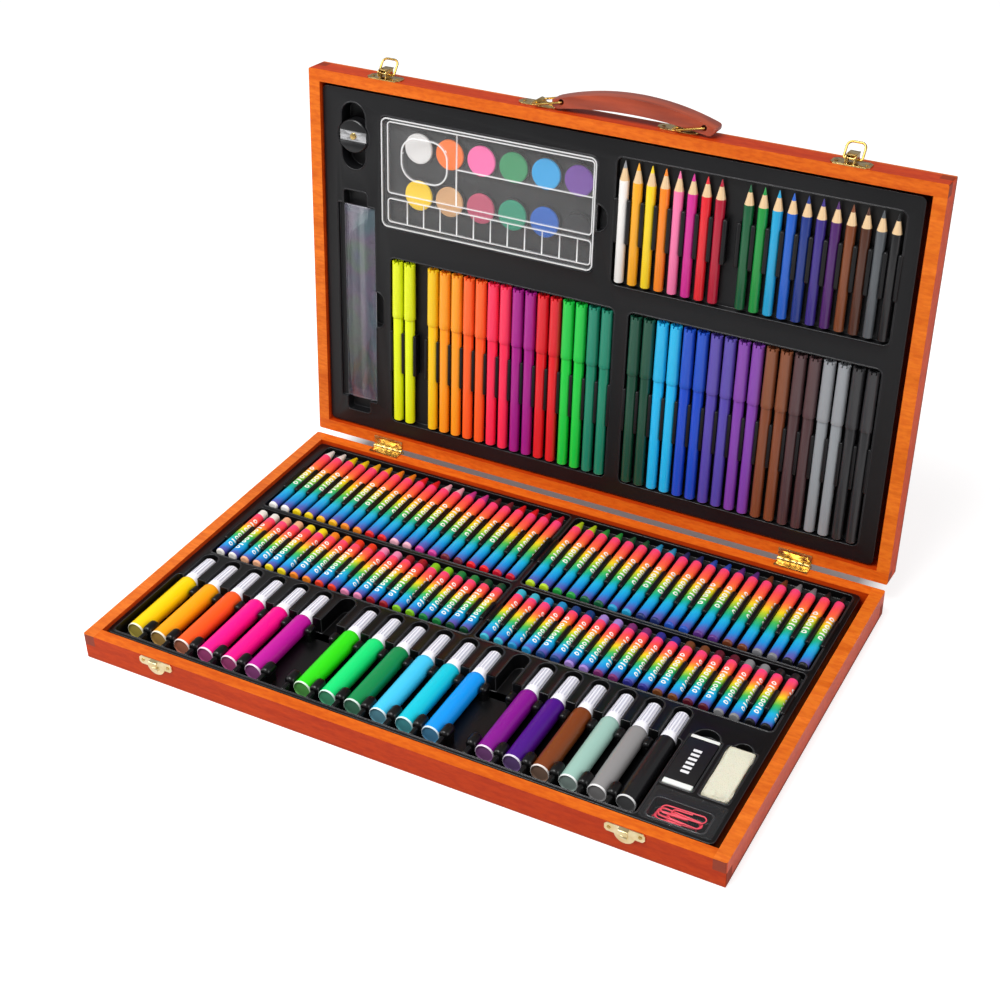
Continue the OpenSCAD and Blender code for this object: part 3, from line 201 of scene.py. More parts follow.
def stained_wood(name, turn, end_axis, rim_facing, light, dark, gloss=0.1):
    """Orange-stained wood with its grain along one axis, fine pores, and darker end grain and outer faces."""
    made, tree, shader = finish_named(name, 0.5, Specular_IOR_Level=0.14, Coat_Weight=gloss,
                                      Coat_Roughness=0.3)
    bands = grainy(tree, 26.0, 4.0, (0.25, 2.2, 2.2), turn)
    fibres = grainy(tree, 150.0, 3.0, (0.07, 1.5, 1.5), turn)
    pores = grainy(tree, 560.0, 2.0, (0.3, 1.0, 1.0), turn)
    cloud = grainy(tree, 9.0, 2.0, turn=turn)
    body = ramp(tree, calc(tree, "MULTIPLY_ADD", bands, 0.5, calc(tree, "MULTIPLY", fibres, 0.5)),
                [(0.36, dark), (0.62, light)])
    flecks = calc(tree, "MULTIPLY_ADD", pores, 4.0, -1.6, clamp=True)
    speckled = blended(tree, calc(tree, "MULTIPLY", flecks, pore_share), body, colour(dark), "MULTIPLY")
    faded = blended(tree, calc(tree, "MULTIPLY", cloud, fade_share), speckled, colour(light))
    normal = own(tree, "Normal")
    at_rim = component(tree, normal, rim_facing)
    lacquered = blended(tree, calc(tree, "LESS_THAN", at_rim, 0.6), faded, colour(lacquer), "MULTIPLY")
    facing = add_node(tree, "ShaderNodeSeparateXYZ", [(0, normal)]).outputs[end_axis]
    end_grain = calc(tree, "GREATER_THAN", calc(tree, "ABSOLUTE", facing), 0.7)
    stained = blended(tree, calc(tree, "MULTIPLY", end_grain, end_share), lacquered, colour(end_stain))
    show(tree, shader, stained)
    bumped(tree, shader, pores, 0.12, 0.0002)
    return made


def refinish(material, *nodes):
    """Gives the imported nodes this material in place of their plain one."""
    for node in nodes:
        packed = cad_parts[node]
        packed.data.materials.clear()
        packed.data.materials.append(material)
        for face in packed.data.polygons:
            face.material_index = 0


base_up, lid_out = (0.0, 0.0, 1.0), (0.0, -0.9962, 0.0872)  # the way each half's open side faces
rim_light, rim_dark = "#e4701a", "#ca5408"
side_light, side_dark = "#ea7a20", "#d0600c"
refinish(stained_wood("wood_base_long_rails", (0, 0, 0), 0, base_up, rim_light, rim_dark),
         "base_front_rail", "base_back_rail")
refinish(stained_wood("wood_lid_long_rails", (0, 0, 0), 0, lid_out, rim_light, rim_dark),
         "lid_front_rail", "lid_back_rail")
refinish(stained_wood("wood_base_side_rails", (0, 0, math.pi / 2), 1, base_up, side_light, side_dark, 0.5),
         "base_left_rail", "base_right_rail")
refinish(stained_wood("wood_lid_side_rails", (0, math.pi / 2, 0), 2, lid_out, side_light, side_dark),
         "lid_left_rail", "lid_right_rail")
refinish(stained_wood("wood_panels", (0, 0, 0), 0, base_up, "#e0752c", "#c4591a"), "base_panel", "lid_panel")

# -------- base tray
# One sheet of black plastic, formed hot over a mould and trimmed to drop inside the rails. Its pockets
# have raised lips with rounded edges, painted paler as a highlight, and the ridges between the sticks grip
# them from both sides.

rim_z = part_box("base_front_rail")[1].z * 1000
base_place = Matrix.Scale(0.001, 4) @ Matrix.Translation((0, 0, rim_z))
tray_top, lip, lip_width = -3.0, 0.4, 0.8  # Z is counted from the rim of the rails


def start_piece():
    """Leaves edit mode, with no object selected."""
    if bpy.context.object and bpy.context.object.mode != "OBJECT":
        bpy.ops.object.mode_set(mode="OBJECT")
    bpy.ops.object.select_all(action="DESELECT")


def only(piece):
    """Makes the piece the one that is selected and active."""
    start_piece()
    piece.select_set(True)
    bpy.context.view_layer.objects.active = piece


def apply_place(piece):
    only(piece)
    bpy.ops.object.transform_apply(location=True, rotation=True, scale=True)


def select_none(mesh):
    for part in (mesh.polygons, mesh.edges, mesh.vertices):
        part.foreach_set("select", [False] * len(part))


def select_edges(piece, test):
    """Selects the edges whose two ends pass the test."""
    mesh = piece.data
    points = [v.co for v in mesh.vertices]
    select_none(mesh)
    for edge in mesh.edges:
        if test(points[edge.vertices[0]], points[edge.vertices[1]]):
            edge.select = True
            for v in edge.vertices:
                mesh.vertices[v].select = True


def select_faces(piece, test):
    """Selects the faces whose centre and normal pass the test."""
    mesh = piece.data
    select_none(mesh)
    for face in mesh.polygons:
        if test(face.center, face.normal):
            face.select = True
            for v in face.vertices:
                mesh.vertices[v].select = True


def rounded_block(low, high, corner, steps=6):
    """A block from its lowest to its highest corner, in millimetres, with rounded upright edges."""
    start_piece()
    bpy.ops.mesh.primitive_cube_add(size=1, location=[(a + b) / 2 for a, b in zip(low, high)],
                                    scale=[b - a for a, b in zip(low, high)])
    piece = bpy.context.object
    apply_place(piece)
    select_edges(piece, lambda a, b: abs(a.x - b.x) < 1e-4 and abs(a.y - b.y) < 1e-4)
    bpy.ops.object.mode_set(mode="EDIT")
    bpy.ops.mesh.select_mode(type="EDGE")
    bpy.ops.mesh.bevel(offset=corner, segments=steps, affect="EDGES")
    bpy.ops.object.mode_set(mode="OBJECT")
    return piece


def joined(pieces, name):
    """The pieces as one, under this name."""
    start_piece()
    for piece in pieces:
        piece.select_set(True)
    bpy.context.view_layer.objects.active = pieces[0]
    if len(pieces) > 1:
        bpy.ops.object.join()
    pieces[0].name = pieces[0].data.name = name
    return pieces[0]


def with_modifier(piece, kind, **settings):
    """Puts a modifier on the piece and applies it."""
    only(piece)
    modifier = piece.modifiers.new(kind.lower(), kind)
    for key, value in settings.items():
        setattr(modifier, key, value)
    bpy.ops.object.modifier_apply(modifier=modifier.name)


def bevelled(piece, width, **settings):
    """Rounds the edges where the surface turns sharply."""
    with_modifier(piece, "BEVEL", width=width, segments=3, limit_method="ANGLE",
                  angle_limit=math.radians(50), **settings)


def combined(piece, others, operation):
    """Cuts the others out of the piece, or adds them to it."""
    tool = joined(others, "tool")
    with_modifier(piece, "BOOLEAN", operation=operation, solver="EXACT", object=tool, use_self=True)
    bpy.data.objects.remove(tool)


def smooth_shaded(piece, angle):
    only(piece)
    bpy.ops.object.shade_smooth_by_angle(angle=math.radians(angle))


def clip_ridge(head_r, neck, top, low, y0, y1):
    """A ridge along Y: a round-ended bar on a narrower neck that goes down to the floor."""
    start_piece()
    bpy.ops.mesh.primitive_cylinder_add(vertices=12, radius=head_r, depth=y1 - y0,
                                        location=(0, (y0 + y1) / 2, top - head_r),
                                        rotation=(math.pi / 2, 0, 0))
    piece = bpy.context.object
    apply_place(piece)
    select_faces(piece, lambda centre, normal: abs(normal.y) > 0.9)
    bpy.ops.object.mode_set(mode="EDIT")
    bpy.ops.mesh.select_mode(type="FACE")
    bpy.ops.mesh.bevel(offset=head_r * 0.75, segments=3, affect="EDGES")
    bpy.ops.object.mode_set(mode="OBJECT")
    inset = 0.3  # how far the neck's ends stand back from the bar's
    root = rounded_block((-neck / 2, y0 + inset, low), (neck / 2, y1 - inset, top - head_r), neck * 0.45, 3)
    return joined([piece, root], "ridge")


def row_of(piece, first, pitch, count):
    """Copies of a piece side by side along X, each with its own mesh; the piece itself is used up."""
    copies = []
    for i in range(count):
        twin = piece.copy()
        twin.data = piece.data.copy()
        bpy.context.scene.collection.objects.link(twin)
        twin.data.transform(Matrix.Translation((first + i * pitch, 0, 0)))
        copies.append(twin)
    bpy.data.objects.remove(piece)
    return copies


def formed_black(name, roughness, low, high):
    """Black plastic sheet: satin, with the faint unevenness that hot forming leaves.

    Lighter copies of it paint a sheen on the lid's tray and a highlight on rounded edges.
    """
    made, tree, shader = finish_named(name, roughness, Specular_IOR_Level=0.35)
    flow, fine = grainy(tree, 14.0, 2.0), grainy(tree, 900.0, 1.0)
    show(tree, shader, ramp(tree, flow, [(0.3, low), (0.7, high)]))
    tree.links.new(calc(tree, "MULTIPLY_ADD", flow, 0.12, roughness - 0.06), shader.inputs["Roughness"])
    bumped(tree, shader, fine, 0.05, 0.0001)
    return made


def formed_tray(name, box, foot, pockets, ridges, sheet, edge):
    """The sheet with its skirt, its lipped pockets of [x0, y0, x1, y1, corner, depth], and its ridges.

    Its rounded edges are in the second of the two materials, a paler one that paints a highlight on them.
    """
    tray = rounded_block((box[0], box[1], foot), (box[2], box[3], tray_top), 4)
    collars = [rounded_block((x0 - lip_width, y0 - lip_width, tray_top - 2),
                             (x1 + lip_width, y1 + lip_width, tray_top + lip), corner + lip_width)
               for x0, y0, x1, y1, corner, _ in pockets]
    combined(tray, collars, "UNION")
    for level in sorted({pocket[5] for pocket in pockets}):
        holes = [rounded_block((x0, y0, tray_top - depth), (x1, y1, tray_top + 3), corner)
                 for x0, y0, x1, y1, corner, depth in pockets if depth == level]
        combined(tray, holes, "DIFFERENCE")
    tray.data.materials.append(sheet)
    tray.data.materials.append(edge)
    bevelled(tray, 0.42, use_clamp_overlap=False, material=1)
    for ridge in ridges:
        ridge.data.materials.append(sheet)
    tray = joined([tray] + ridges, name)
    smooth_shaded(tray, 40)
    return tray


wax_r, wax_pitch, wax_sink, wax_count = 3.7, 10.68, 1.8, 20
wax_firsts = (-211.2, 7.75)  # the first stick of the left rows and of the right rows
marker_first, marker_pitch, marker_count = -211.5, 19.5, 20
wax_deep, marker_deep, rubber_deep = wax_sink + wax_r, 11.8, 10.0
wax_half, cap_half = wax_pitch / 2 + 0.4, 6.1
wax_spans = [(first - wax_half, first + (wax_count - 1) * wax_pitch + wax_half) for first in wax_firsts]
crayon_span, pastel_span, cap_span = (42.5, 133), (-25, 38.5), (-64, -27.5)
base_pockets = [[x0, y0, x1, y1, 3, wax_deep]
                for y0, y1 in (crayon_span, pastel_span) for x0, x1 in wax_spans]
base_pockets += [[x - cap_half, cap_span[0], x + cap_half, cap_span[1], 6, marker_deep]
                 for x in (marker_first + i * marker_pitch for i in range(marker_count))]
base_pockets += [[-222, -129.5, 169.5, -57, 3, marker_deep],  # the markers' barrels
                 [171.5, -97.5, 192.5, -48.5, 1.5, rubber_deep],  # eraser
                 [197, -97.5, 216, -48.5, 1.5, rubber_deep],  # sponge
                 [175, -127.3, 212.5, -110, 3, 8],  # paper clips
                 [173.4, -58.1, 190.6, -40.9, 8.55, 6],  # finger notch of the eraser
                 [200.3, -55.7, 212.7, -43.3, 6.15, 6]]  # finger notch of the sponge
root_sink = 0.3  # how far a ridge's neck goes into the floor of its pocket
base_ridges = []
for y0, y1 in ((69, 100), (-7, 14)):
    for first in wax_firsts:
        base_ridges += row_of(clip_ridge(1.9, 2.6, tray_top + 2, tray_top - wax_deep - root_sink, y0, y1),
                              first - wax_pitch / 2, wax_pitch, wax_count + 1)
for head_r, neck, top, y0, y1 in ((3.9, 5.2, 1.8, -121, -109), (1.6, 2.6, -1.0, -128.5, -117),
                                  (2.9, 5.2, -1.0, -70, -61)):
    ridge = clip_ridge(head_r, neck, tray_top + top, tray_top - marker_deep - root_sink, y0, y1)
    base_ridges += row_of(ridge, marker_first + marker_pitch / 2, marker_pitch, marker_count - 1)
base_sheet, base_foot = (-225.8, -132.8, 221.2, 136.2), -16.8
# The second finish paints a highlight on the rounded edges of the tray.
base_tray = formed_tray("tray_base", base_sheet, base_foot, base_pockets, base_ridges,
                        formed_black("formed_black", 0.3, "#060607", "#0b0b0c"),
                        formed_black("painted_highlight_edge", 0.2, "#2a2a2c", "#38383a"))
base_tray.data.transform(base_place)
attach(base_tray, "base")
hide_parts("base_tray")

# -------- crayons
# Forty wax crayons lie in the two upper rows, two of each colour, with their cones to the back. Each is a
# cast stick; a paper wrapper is glued round it, printed in a rainbow with plain white marks.

wanderer = random.Random(5)
print_turn, print_scatter = -3.9, 1.3  # how far round the stick the marks sit, and how unevenly
print_slip = 1.2  # how far a paper's print may be out of line along the stick


def turned(profile, sides=16):
    """A closed round body along Y, raised ring by ring from a list of (place along Y, radius)."""
    start_piece()
    first_y, first_r = profile[0]
    bpy.ops.mesh.primitive_circle_add(vertices=sides, radius=first_r, fill_type="NGON",
                                      location=(0, first_y, 0), rotation=(math.pi / 2, 0, 0))
    piece = bpy.context.object
    apply_place(piece)
    bpy.ops.object.mode_set(mode="EDIT")
    bpy.ops.mesh.select_mode(type="FACE")
    bpy.ops.mesh.select_all(action="SELECT")
    for (last_y, last_r), (y, r) in zip(profile, profile[1:]):
        bpy.ops.mesh.extrude_region_move(TRANSFORM_OT_translate={"value": (0, y - last_y, 0)})
        bpy.ops.transform.resize(value=(r / last_r, 1, r / last_r), center_override=(0, y, 0))
    bpy.ops.mesh.select_all(action="SELECT")
    bpy.ops.mesh.normals_make_consistent(inside=False)
    bpy.ops.object.mode_set(mode="OBJECT")
    return piece


def wrapped_map(piece):
    """A UV map in millimetres for a piece turned about Y: the way round it, and the way along it."""
    mesh = piece.data
    layer = mesh.uv_layers.new(name="wrap")
    for face in mesh.polygons:
        middle = math.atan2(face.center.z, face.center.x)
        for loop in face.loop_indices:
            point = mesh.vertices[mesh.loops[loop].vertex_index].co
            turn = math.remainder(math.atan2(point.z, point.x) - middle, 2 * math.pi)
            layer.data[loop].uv = ((middle + turn) * wax_r, point.y)


def tinted(piece, code, shade=None):
    """Stores a colour on every corner; shade(face) may answer with another colour code for a face."""
    mesh = piece.data
    layer = (mesh.color_attributes.get("tint")
             or mesh.color_attributes.new("tint", "FLOAT_COLOR", "CORNER"))
    values = []
    for face in mesh.polygons:
        face_colour = colour(shade(face) or code) if shade else colour(code)
        values += list(face_colour) * face.loop_total
    layer.data.foreach_set("color", values)


def coloured_row(piece, first, pitch, codes, place, shade=None, wander=0.0):
    """A copy of the piece for each colour code along X; None leaves its place empty."""
    copies = []
    for i, code in enumerate(codes):
        if code is None:
            continue
        twin = piece.copy()
        twin.data = piece.data.copy()
        bpy.context.scene.collection.objects.link(twin)
        tinted(twin, code, (lambda face: shade(face, code)) if shade else None)
        if wander:
            twist = print_turn + wanderer.gauss(0, print_scatter)
            slip = wanderer.uniform(-wander, wander)
            for corner in twin.data.uv_layers["wrap"].data:
                corner.uv = (corner.uv[0] + twist, corner.uv[1] + slip)
        twin.data.transform(Matrix.Translation((first + i * pitch, place[0], place[1])))
        copies.append(twin)
    bpy.data.objects.remove(piece)
    return copies


def tinted_finish(name, roughness, bump=0.0, **sockets):
    """A material that takes its colour from the colour stored on the piece."""
    made, tree, shader = finish_named(name, roughness, **sockets)
    show(tree, shader, add_node(tree, "ShaderNodeAttribute", attribute_name="tint").outputs["Color"])
    if bump:
        bumped(tree, shader, grainy(tree, 900.0, 2.0), bump, 0.0002)
    return made


def twice(*codes):
    """Each colour two times, as the sticks lie in pairs."""
    return [code for code in codes for _ in range(2)]


def between(tree, value, low, high):
    return calc(tree, "MULTIPLY", calc(tree, "GREATER_THAN", value, low),
                calc(tree, "LESS_THAN", value, high))


def rainbow_paper(name, length, marks, pitch, reach):
    """Printed paper: a rainbow along the stick, and a row of plain white rings and bars on its upper side."""
    made, tree, shader = finish_named(name, 0.4, Coat_Weight=0.15)
    wrap_map = add_node(tree, "ShaderNodeUVMap", uv_map="wrap").outputs[0]
    wrap = add_node(tree, "ShaderNodeSeparateXYZ", [(0, wrap_map)])
    round_it, along = wrap.outputs[0], wrap.outputs[1]
    slant = calc(tree, "SINE", calc(tree, "DIVIDE", round_it, wax_r))
    slanted = calc(tree, "MULTIPLY_ADD", slant, 2.2, along)
    print_colour = ramp(tree, calc(tree, "DIVIDE", slanted, length, clamp=True),
                        [(0.0, "#6450a4"), (0.07, "#4c64ba"), (0.14, "#1590dc"), (0.27, "#10b2de"),
                         (0.37, "#0eb08a"), (0.46, "#44bb4e"), (0.55, "#b4d02c"), (0.62, "#fbd616"),
                         (0.7, "#ff9c2a"), (0.78, "#ff663e"), (0.88, "#fb4c4c"), (1.0, "#f53c78")])
    across = calc(tree, "PINGPONG", round_it, math.pi * wax_r)
    counted = calc(tree, "DIVIDE", calc(tree, "SUBTRACT", along, marks[0]), pitch)
    step = calc(tree, "MULTIPLY", calc(tree, "SUBTRACT", calc(tree, "FRACT", counted), 0.45), pitch)
    every_third = calc(tree, "FLOORED_MODULO", calc(tree, "FLOOR", counted), 3.0)
    is_bar = calc(tree, "COMPARE", every_third, 1.0, 0.5)
    ring_out = calc(tree, "ADD", calc(tree, "POWER", calc(tree, "DIVIDE", step, pitch * 0.4), 2.0),
                    calc(tree, "POWER", calc(tree, "DIVIDE", across, reach), 2.0))
    ring = between(tree, ring_out, 0.22, 1.0)
    bar = calc(tree, "MULTIPLY", calc(tree, "LESS_THAN", calc(tree, "ABSOLUTE", step), pitch * 0.16),
               calc(tree, "LESS_THAN", across, reach * 1.2))
    inked = calc(tree, "MULTIPLY_ADD", is_bar, calc(tree, "SUBTRACT", bar, ring), ring)
    printed = calc(tree, "MULTIPLY", inked, between(tree, along, *marks))
    show(tree, shader, blended(tree, printed, print_colour, colour("#fdfbf4")))
    return made


def wrapped_sticks(name, paper_name, foot, codes, bare, wrapped, paper):
    """Both rows of one kind of stick, each its sticks and its papers; answers with the left row's two."""
    rows = []
    for side, first, row_codes in zip(("left", "right"), wax_firsts, codes):
        stick, wrapper = turned(bare), turned(wrapped)
        stick.data.materials.append(wax_finish)
        wrapped_map(wrapper)
        wrapper.data.materials.append(paper)
        sticks = coloured_row(stick, first, wax_pitch, row_codes, (foot, wax_z))
        wrappers = coloured_row(wrapper, first, wax_pitch, row_codes, (foot, wax_z), wander=print_slip)
        row = joined(sticks, f"{name}_{side}"), joined(wrappers, f"{paper_name}_{side}")
        for piece, own_slot in zip(row, ("wax", "wrapper")):
            smooth_shaded(piece, 40)
            piece.data.transform(base_place)
            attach(piece, "base")
        rows.append(row)
    return rows[0]


wax_z, bare_r, paper_r = tray_top - wax_sink, wax_r - 0.2, wax_r - 0.1
crayon_left = twice("#f4f0ec", "#f2d00c", "#f5b418", "#f58a1c", "#e01c1c", "#f6b4c4", "#d03a94", "#74202c",
                    "#e8101c", "#c8102c")
crayon_right = twice("#b8d81c", "#1c9a3c", "#0c5a34", "#1c9ac8", "#1c2c68", "#1c50b4", "#5a2c80", "#6c3418",
                     "#7c7c80", "#161618")
wax_finish = tinted_finish("coloured_wax", 0.42, 0.08)
crayon_paper = rainbow_paper("crayon_paper", 76.0, (30.0, 57.0), 4.5, 2.1)
crayon_foot = 45.5
crayon_bare = [(0, 2.6), (0.15, 3.1), (0.7, bare_r), (76.4, bare_r), (76.9, 3.25), (85.5, 1.15), (86.0, 0.6)]
crayon_wrapped = [(2.2, paper_r), (2.25, wax_r), (75.45, wax_r), (75.5, paper_r)]
crayons_left, wrappers_left = wrapped_sticks(
    "crayons", "crayon_wrappers", crayon_foot, (crayon_left, crayon_right),
    crayon_bare, crayon_wrapped, crayon_paper)
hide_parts("crayon_sticks")
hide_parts("crayon_wrappers")

# -------- oil pastels
# Forty oil pastels fill the two rows in front of the crayons. They are plain round sticks with a soft edge,
# bare at the back end, in the same printed paper as the crayons.

pastel_left = twice("#f2eee6", "#f4b48c", "#f6dc1c", "#f4861c", "#ea3a1c", "#f08cb4", "#9a1420", "#84c81c",
                    "#16803c", "#0c4428")
pastel_right = twice("#3cb8d0", "#2090c8", "#143c78", "#a888d4", "#7c2c6c", "#2c2c88", "#74401c", "#5c1424",
                     "#88888a", "#161618")
pastel_paper = rainbow_paper("pastel_paper", 50.5, (8.0, 43.1), 3.9, 1.8)
pastel_foot = -21.8
pastel_bare = [(0, 2.7), (0.7, bare_r), (56.1, bare_r), (56.9, 3.1), (57.35, 2.7), (57.5, 2.2)]
pastel_wrapped = [(1.5, paper_r), (1.55, wax_r), (50.45, wax_r), (50.5, paper_r)]
pastels_left, wrappers_left = wrapped_sticks(
    "pastels", "pastel_wrappers", pastel_foot, (pastel_left, pastel_right),
    pastel_bare, pastel_wrapped, pastel_paper)
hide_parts("pastel_sticks")
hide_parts("pastel_wrappers")

# -------- markers
# Eighteen fibre markers stand side by side along the front; two places are empty. Each has a glossy moulded
# barrel with a pale ring and a sunk plug at its foot, and a white cap with ribs over a smooth skirt.

marker_codes = ["#ffd400", "#ffa608", "#ff5a1c", "#ff0f8e", "#ff0a8c", "#c0109a", None, "#2fe012", "#10e078",
                "#0b8a4c", "#44caf4", "#10c8dc", "#0c98f2", None, "#86108e", "#4a0c84", "#7c3c18", "#9cc2b6",
                "#8e8c8c", "#18181a"]
marker_z, marker_y = tray_top - 5.1, -120


def darker(code, share):
    """The colour with this share of its own light left."""
    return "#" + "".join(f"{int(int(code[i:i + 2], 16) * share):02x}" for i in (1, 3, 5))


def lighter(code, share):
    """The colour with this share left of what it lacks to white."""
    return "#" + "".join(f"{int(255 - (255 - int(code[i:i + 2], 16)) * share):02x}" for i in (1, 3, 5))


def from_axis(face):
    return math.hypot(face.center.x, face.center.z)


def marker_shade(face, code):
    """A pale ring round the foot, and a greyed plug inside it."""
    if face.center.y < 0.9 and from_axis(face) > 6.2:
        return lighter(code, 0.14)
    return lighter(darker(code, 0.62), 0.7) if face.center.y < 1.0 else None


barrel = turned([(0.7, 4.6), (0.75, 5.2), (0.6, 5.7), (0.15, 5.9), (0, 6.15), (0.1, 6.45), (0.4, 6.65),
                 (1.2, 6.7), (59.2, 6.7), (60.0, 6.62), (61.8, 5.98), (62, 5.9), (62, 4.8)], 32)
barrel.data.materials.append(tinted_finish("marker_plastic", 0.28, Specular_IOR_Level=0.35,
                                           Coat_Weight=0.15, Coat_Roughness=0.1))
markers = joined(coloured_row(barrel, marker_first, marker_pitch, marker_codes, (marker_y, marker_z),
                              marker_shade), "marker_barrels")
smooth_shaded(markers, 35)
markers.data.transform(base_place)
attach(markers, "base")
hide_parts("marker_barrels", "marker_plugs")


def edit_in_turn(piece, low, high, chosen):
    """Enters edit mode with chosen faces selected, counted round the ring between two places along Y."""
    ring = [face for face in piece.data.polygons if low < face.center.y < high]
    ring.sort(key=lambda face: math.atan2(face.center.z, face.center.x))
    select_none(piece.data)
    for i, face in enumerate(ring):
        face.select = chosen(i)
    bpy.ops.object.mode_set(mode="EDIT")
    bpy.ops.mesh.select_mode(type="FACE")


ribs_from, ribs_to, rib_height, groove_r = 70, 87, 0.45, 5.28
cap = turned([(62.1, 5.2), (62.12, 5.7), (62.3, 5.8), (66.9, 5.8), (67.5, 5.42), (68.3, 5.3), (87.4, 4.72),
              (88.4, 4.45), (88.9, 3.9), (89, 3.4)], 32)
edit_in_turn(cap, ribs_from, ribs_to, lambda i: i % 2 == 0)
bpy.ops.mesh.extrude_region_shrink_fatten(TRANSFORM_OT_shrink_fatten={"value": rib_height})
bpy.ops.mesh.select_all(action="SELECT")
bpy.ops.mesh.normals_make_consistent(inside=False)
bpy.ops.object.mode_set(mode="OBJECT")


def cap_groove_painted_shade(face, code):
    """The grooves between the ribs are painted darker, as painted shade."""
    in_groove = ribs_from < face.center.y < ribs_to and from_axis(face) < groove_r
    return "#d4d4e0" if in_groove else None


cap.data.materials.append(tinted_finish("white_cap_plastic", 0.35))
caps = joined(coloured_row(cap, marker_first, marker_pitch, [c and "#f3f2f9" for c in marker_codes],
                           (marker_y, marker_z), cap_groove_painted_shade), "marker_caps_white")
smooth_shaded(caps, 30)
caps.data.transform(base_place)
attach(caps, "base")
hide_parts("marker_caps")

# -------- eraser
# A white vinyl block in a black card sleeve, which is open at both ends. The sleeve's printing is a row of
# plain bars.

vinyl, _, _ = finish_named("white_vinyl", 0.6, Base_Color=colour("#efeee9"), Subsurface_Weight=0.08)
eraser_low, eraser_high = (172.3, -97, -12.7), (191.7, -49, -2.3)
eraser = rounded_block(eraser_low, eraser_high, 0.9, 3)
bevelled(eraser, 0.7)
smooth_shaded(eraser, 40)
eraser.name = eraser.data.name = "eraser_block_vinyl"
eraser.data.materials.append(vinyl)
eraser.data.transform(base_place)
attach(eraser, "eraser_block")
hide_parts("eraser")


def softened(node, material, width, segments=2, edge=None):
    """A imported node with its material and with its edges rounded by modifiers; its mesh stays as it is."""
    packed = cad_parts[node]
    refinish(material, node)
    packed.data.polygons.foreach_set("use_smooth", [True] * len(packed.data.polygons))
    weld = packed.modifiers.new("weld", "WELD")
    weld.merge_threshold = 0.000002
    bevel = packed.modifiers.new("bevel", "BEVEL")
    bevel.width, bevel.segments = width * 0.001, segments
    bevel.limit_method, bevel.angle_limit = "ANGLE", math.radians(32)
    bevel.harden_normals = True
    # An edge material paints a highlight on the rounded edges.
    if edge:
        packed.data.materials.append(edge)
        bevel.material = 1


def place_in_mm(tree):
    """The piece's own X, Y and Z in millimetres."""
    place = add_node(tree, "ShaderNodeSeparateXYZ", [(0, own(tree))])
    return [calc(tree, "MULTIPLY", place.outputs[i], 1000.0) for i in range(3)]


sleeve_card, sleeve_tree, sleeve_shader = finish_named("printed_sleeve", 0.38)
bars_x, bars_y, bar_pitch, bar_width = (179.2, 184.8), (-85.0, -62.2), 4.1, 2.3
at_x, at_y, at_z = place_in_mm(sleeve_tree)
from_first = calc(sleeve_tree, "SUBTRACT", at_y, bars_y[0])
bar = calc(sleeve_tree, "LESS_THAN", calc(sleeve_tree, "FLOORED_MODULO", from_first, bar_pitch), bar_width)
in_row = calc(sleeve_tree, "MULTIPLY", between(sleeve_tree, at_x, *bars_x),
              between(sleeve_tree, at_y, *bars_y))
sleeve_top = rim_z - 2.3
upper_face = calc(sleeve_tree, "GREATER_THAN", at_z, sleeve_top)
marks = calc(sleeve_tree, "MULTIPLY", calc(sleeve_tree, "MULTIPLY", bar, in_row), upper_face)
show(sleeve_tree, sleeve_shader, blended(sleeve_tree, marks, colour("#101012"), colour("#e8e8ea")))
softened("eraser_sleeve", sleeve_card, 0.25)

# -------- sponge
# A cream block cut from open foam, a little uneven on every face, with fine pores all over. It lies loose
# in its place beside the eraser.

sponge_low, sponge_high = (197.7, -96.8, -12.8), (215.3, -49.2, -2.2)
sponge = rounded_block(sponge_low, sponge_high, 1.5, 3)
bevelled(sponge, 0.9)
only(sponge)
bpy.ops.object.mode_set(mode="EDIT")
bpy.ops.mesh.select_all(action="SELECT")
bpy.ops.mesh.quads_convert_to_tris()
bpy.ops.mesh.subdivide(number_cuts=3)
bpy.ops.transform.vertex_random(offset=0.3, seed=4)
bpy.ops.mesh.subdivide(number_cuts=1, smoothness=0.5)
bpy.ops.transform.vertex_random(offset=0.12, seed=7)
bpy.ops.object.mode_set(mode="OBJECT")
smooth_shaded(sponge, 60)
sponge.name = sponge.data.name = "sponge_cut"
foam, foam_tree, foam_shader = finish_named("cream_foam", 0.95, Subsurface_Weight=0.1)
pores = add_node(foam_tree, "ShaderNodeTexVoronoi",
                 [("Vector", own(foam_tree)), ("Scale", 1300.0)]).outputs[0]
# The pores are painted darker, as painted shade in the foam's holes.
show(foam_tree, foam_shader, ramp(foam_tree, pores, [(0.0, "#c8c0a2"), (0.35, "#dfd9c4")]))
bumped(foam_tree, foam_shader, pores, 0.5, 0.0005)
sponge.data.materials.append(foam)
sponge.data.transform(base_place)
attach(sponge, "sponge_block")
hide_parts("sponge")

# -------- paper clips and their cover
# Six wire clips, bent and coated with red plastic, lie loose in a shallow well of the tray. A thin clear
# sheet over the well keeps them in. Its rounded edges are paler and less clear, a painted highlight.

clip_coat, _, _ = finish_named("clip_coating", 0.3, Base_Color=colour("#f0485c"))
refinish(clip_coat, "paper_clips")
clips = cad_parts["paper_clips"]
clips.data.polygons.foreach_set("use_smooth", [True] * len(clips.data.polygons))


def clear_plastic(name, code, opacity, roughness=0.08):
    """Thin clear plastic: mostly see-through, with a clean reflection."""
    made, _, _ = finish_named(name, roughness, Base_Color=colour(code), Alpha=opacity, Coat_Weight=0.6)
    made.surface_render_method = "BLENDED"
    return made


# The cover's rounded edges take a paler, less clear material, a painted highlight.
softened("clip_cover", clear_plastic("thin_clear", "#c8ccd0", 0.015), 0.2, 1,
         clear_plastic("clear_rim_painted_highlight", "#c8ccd0", 0.18))
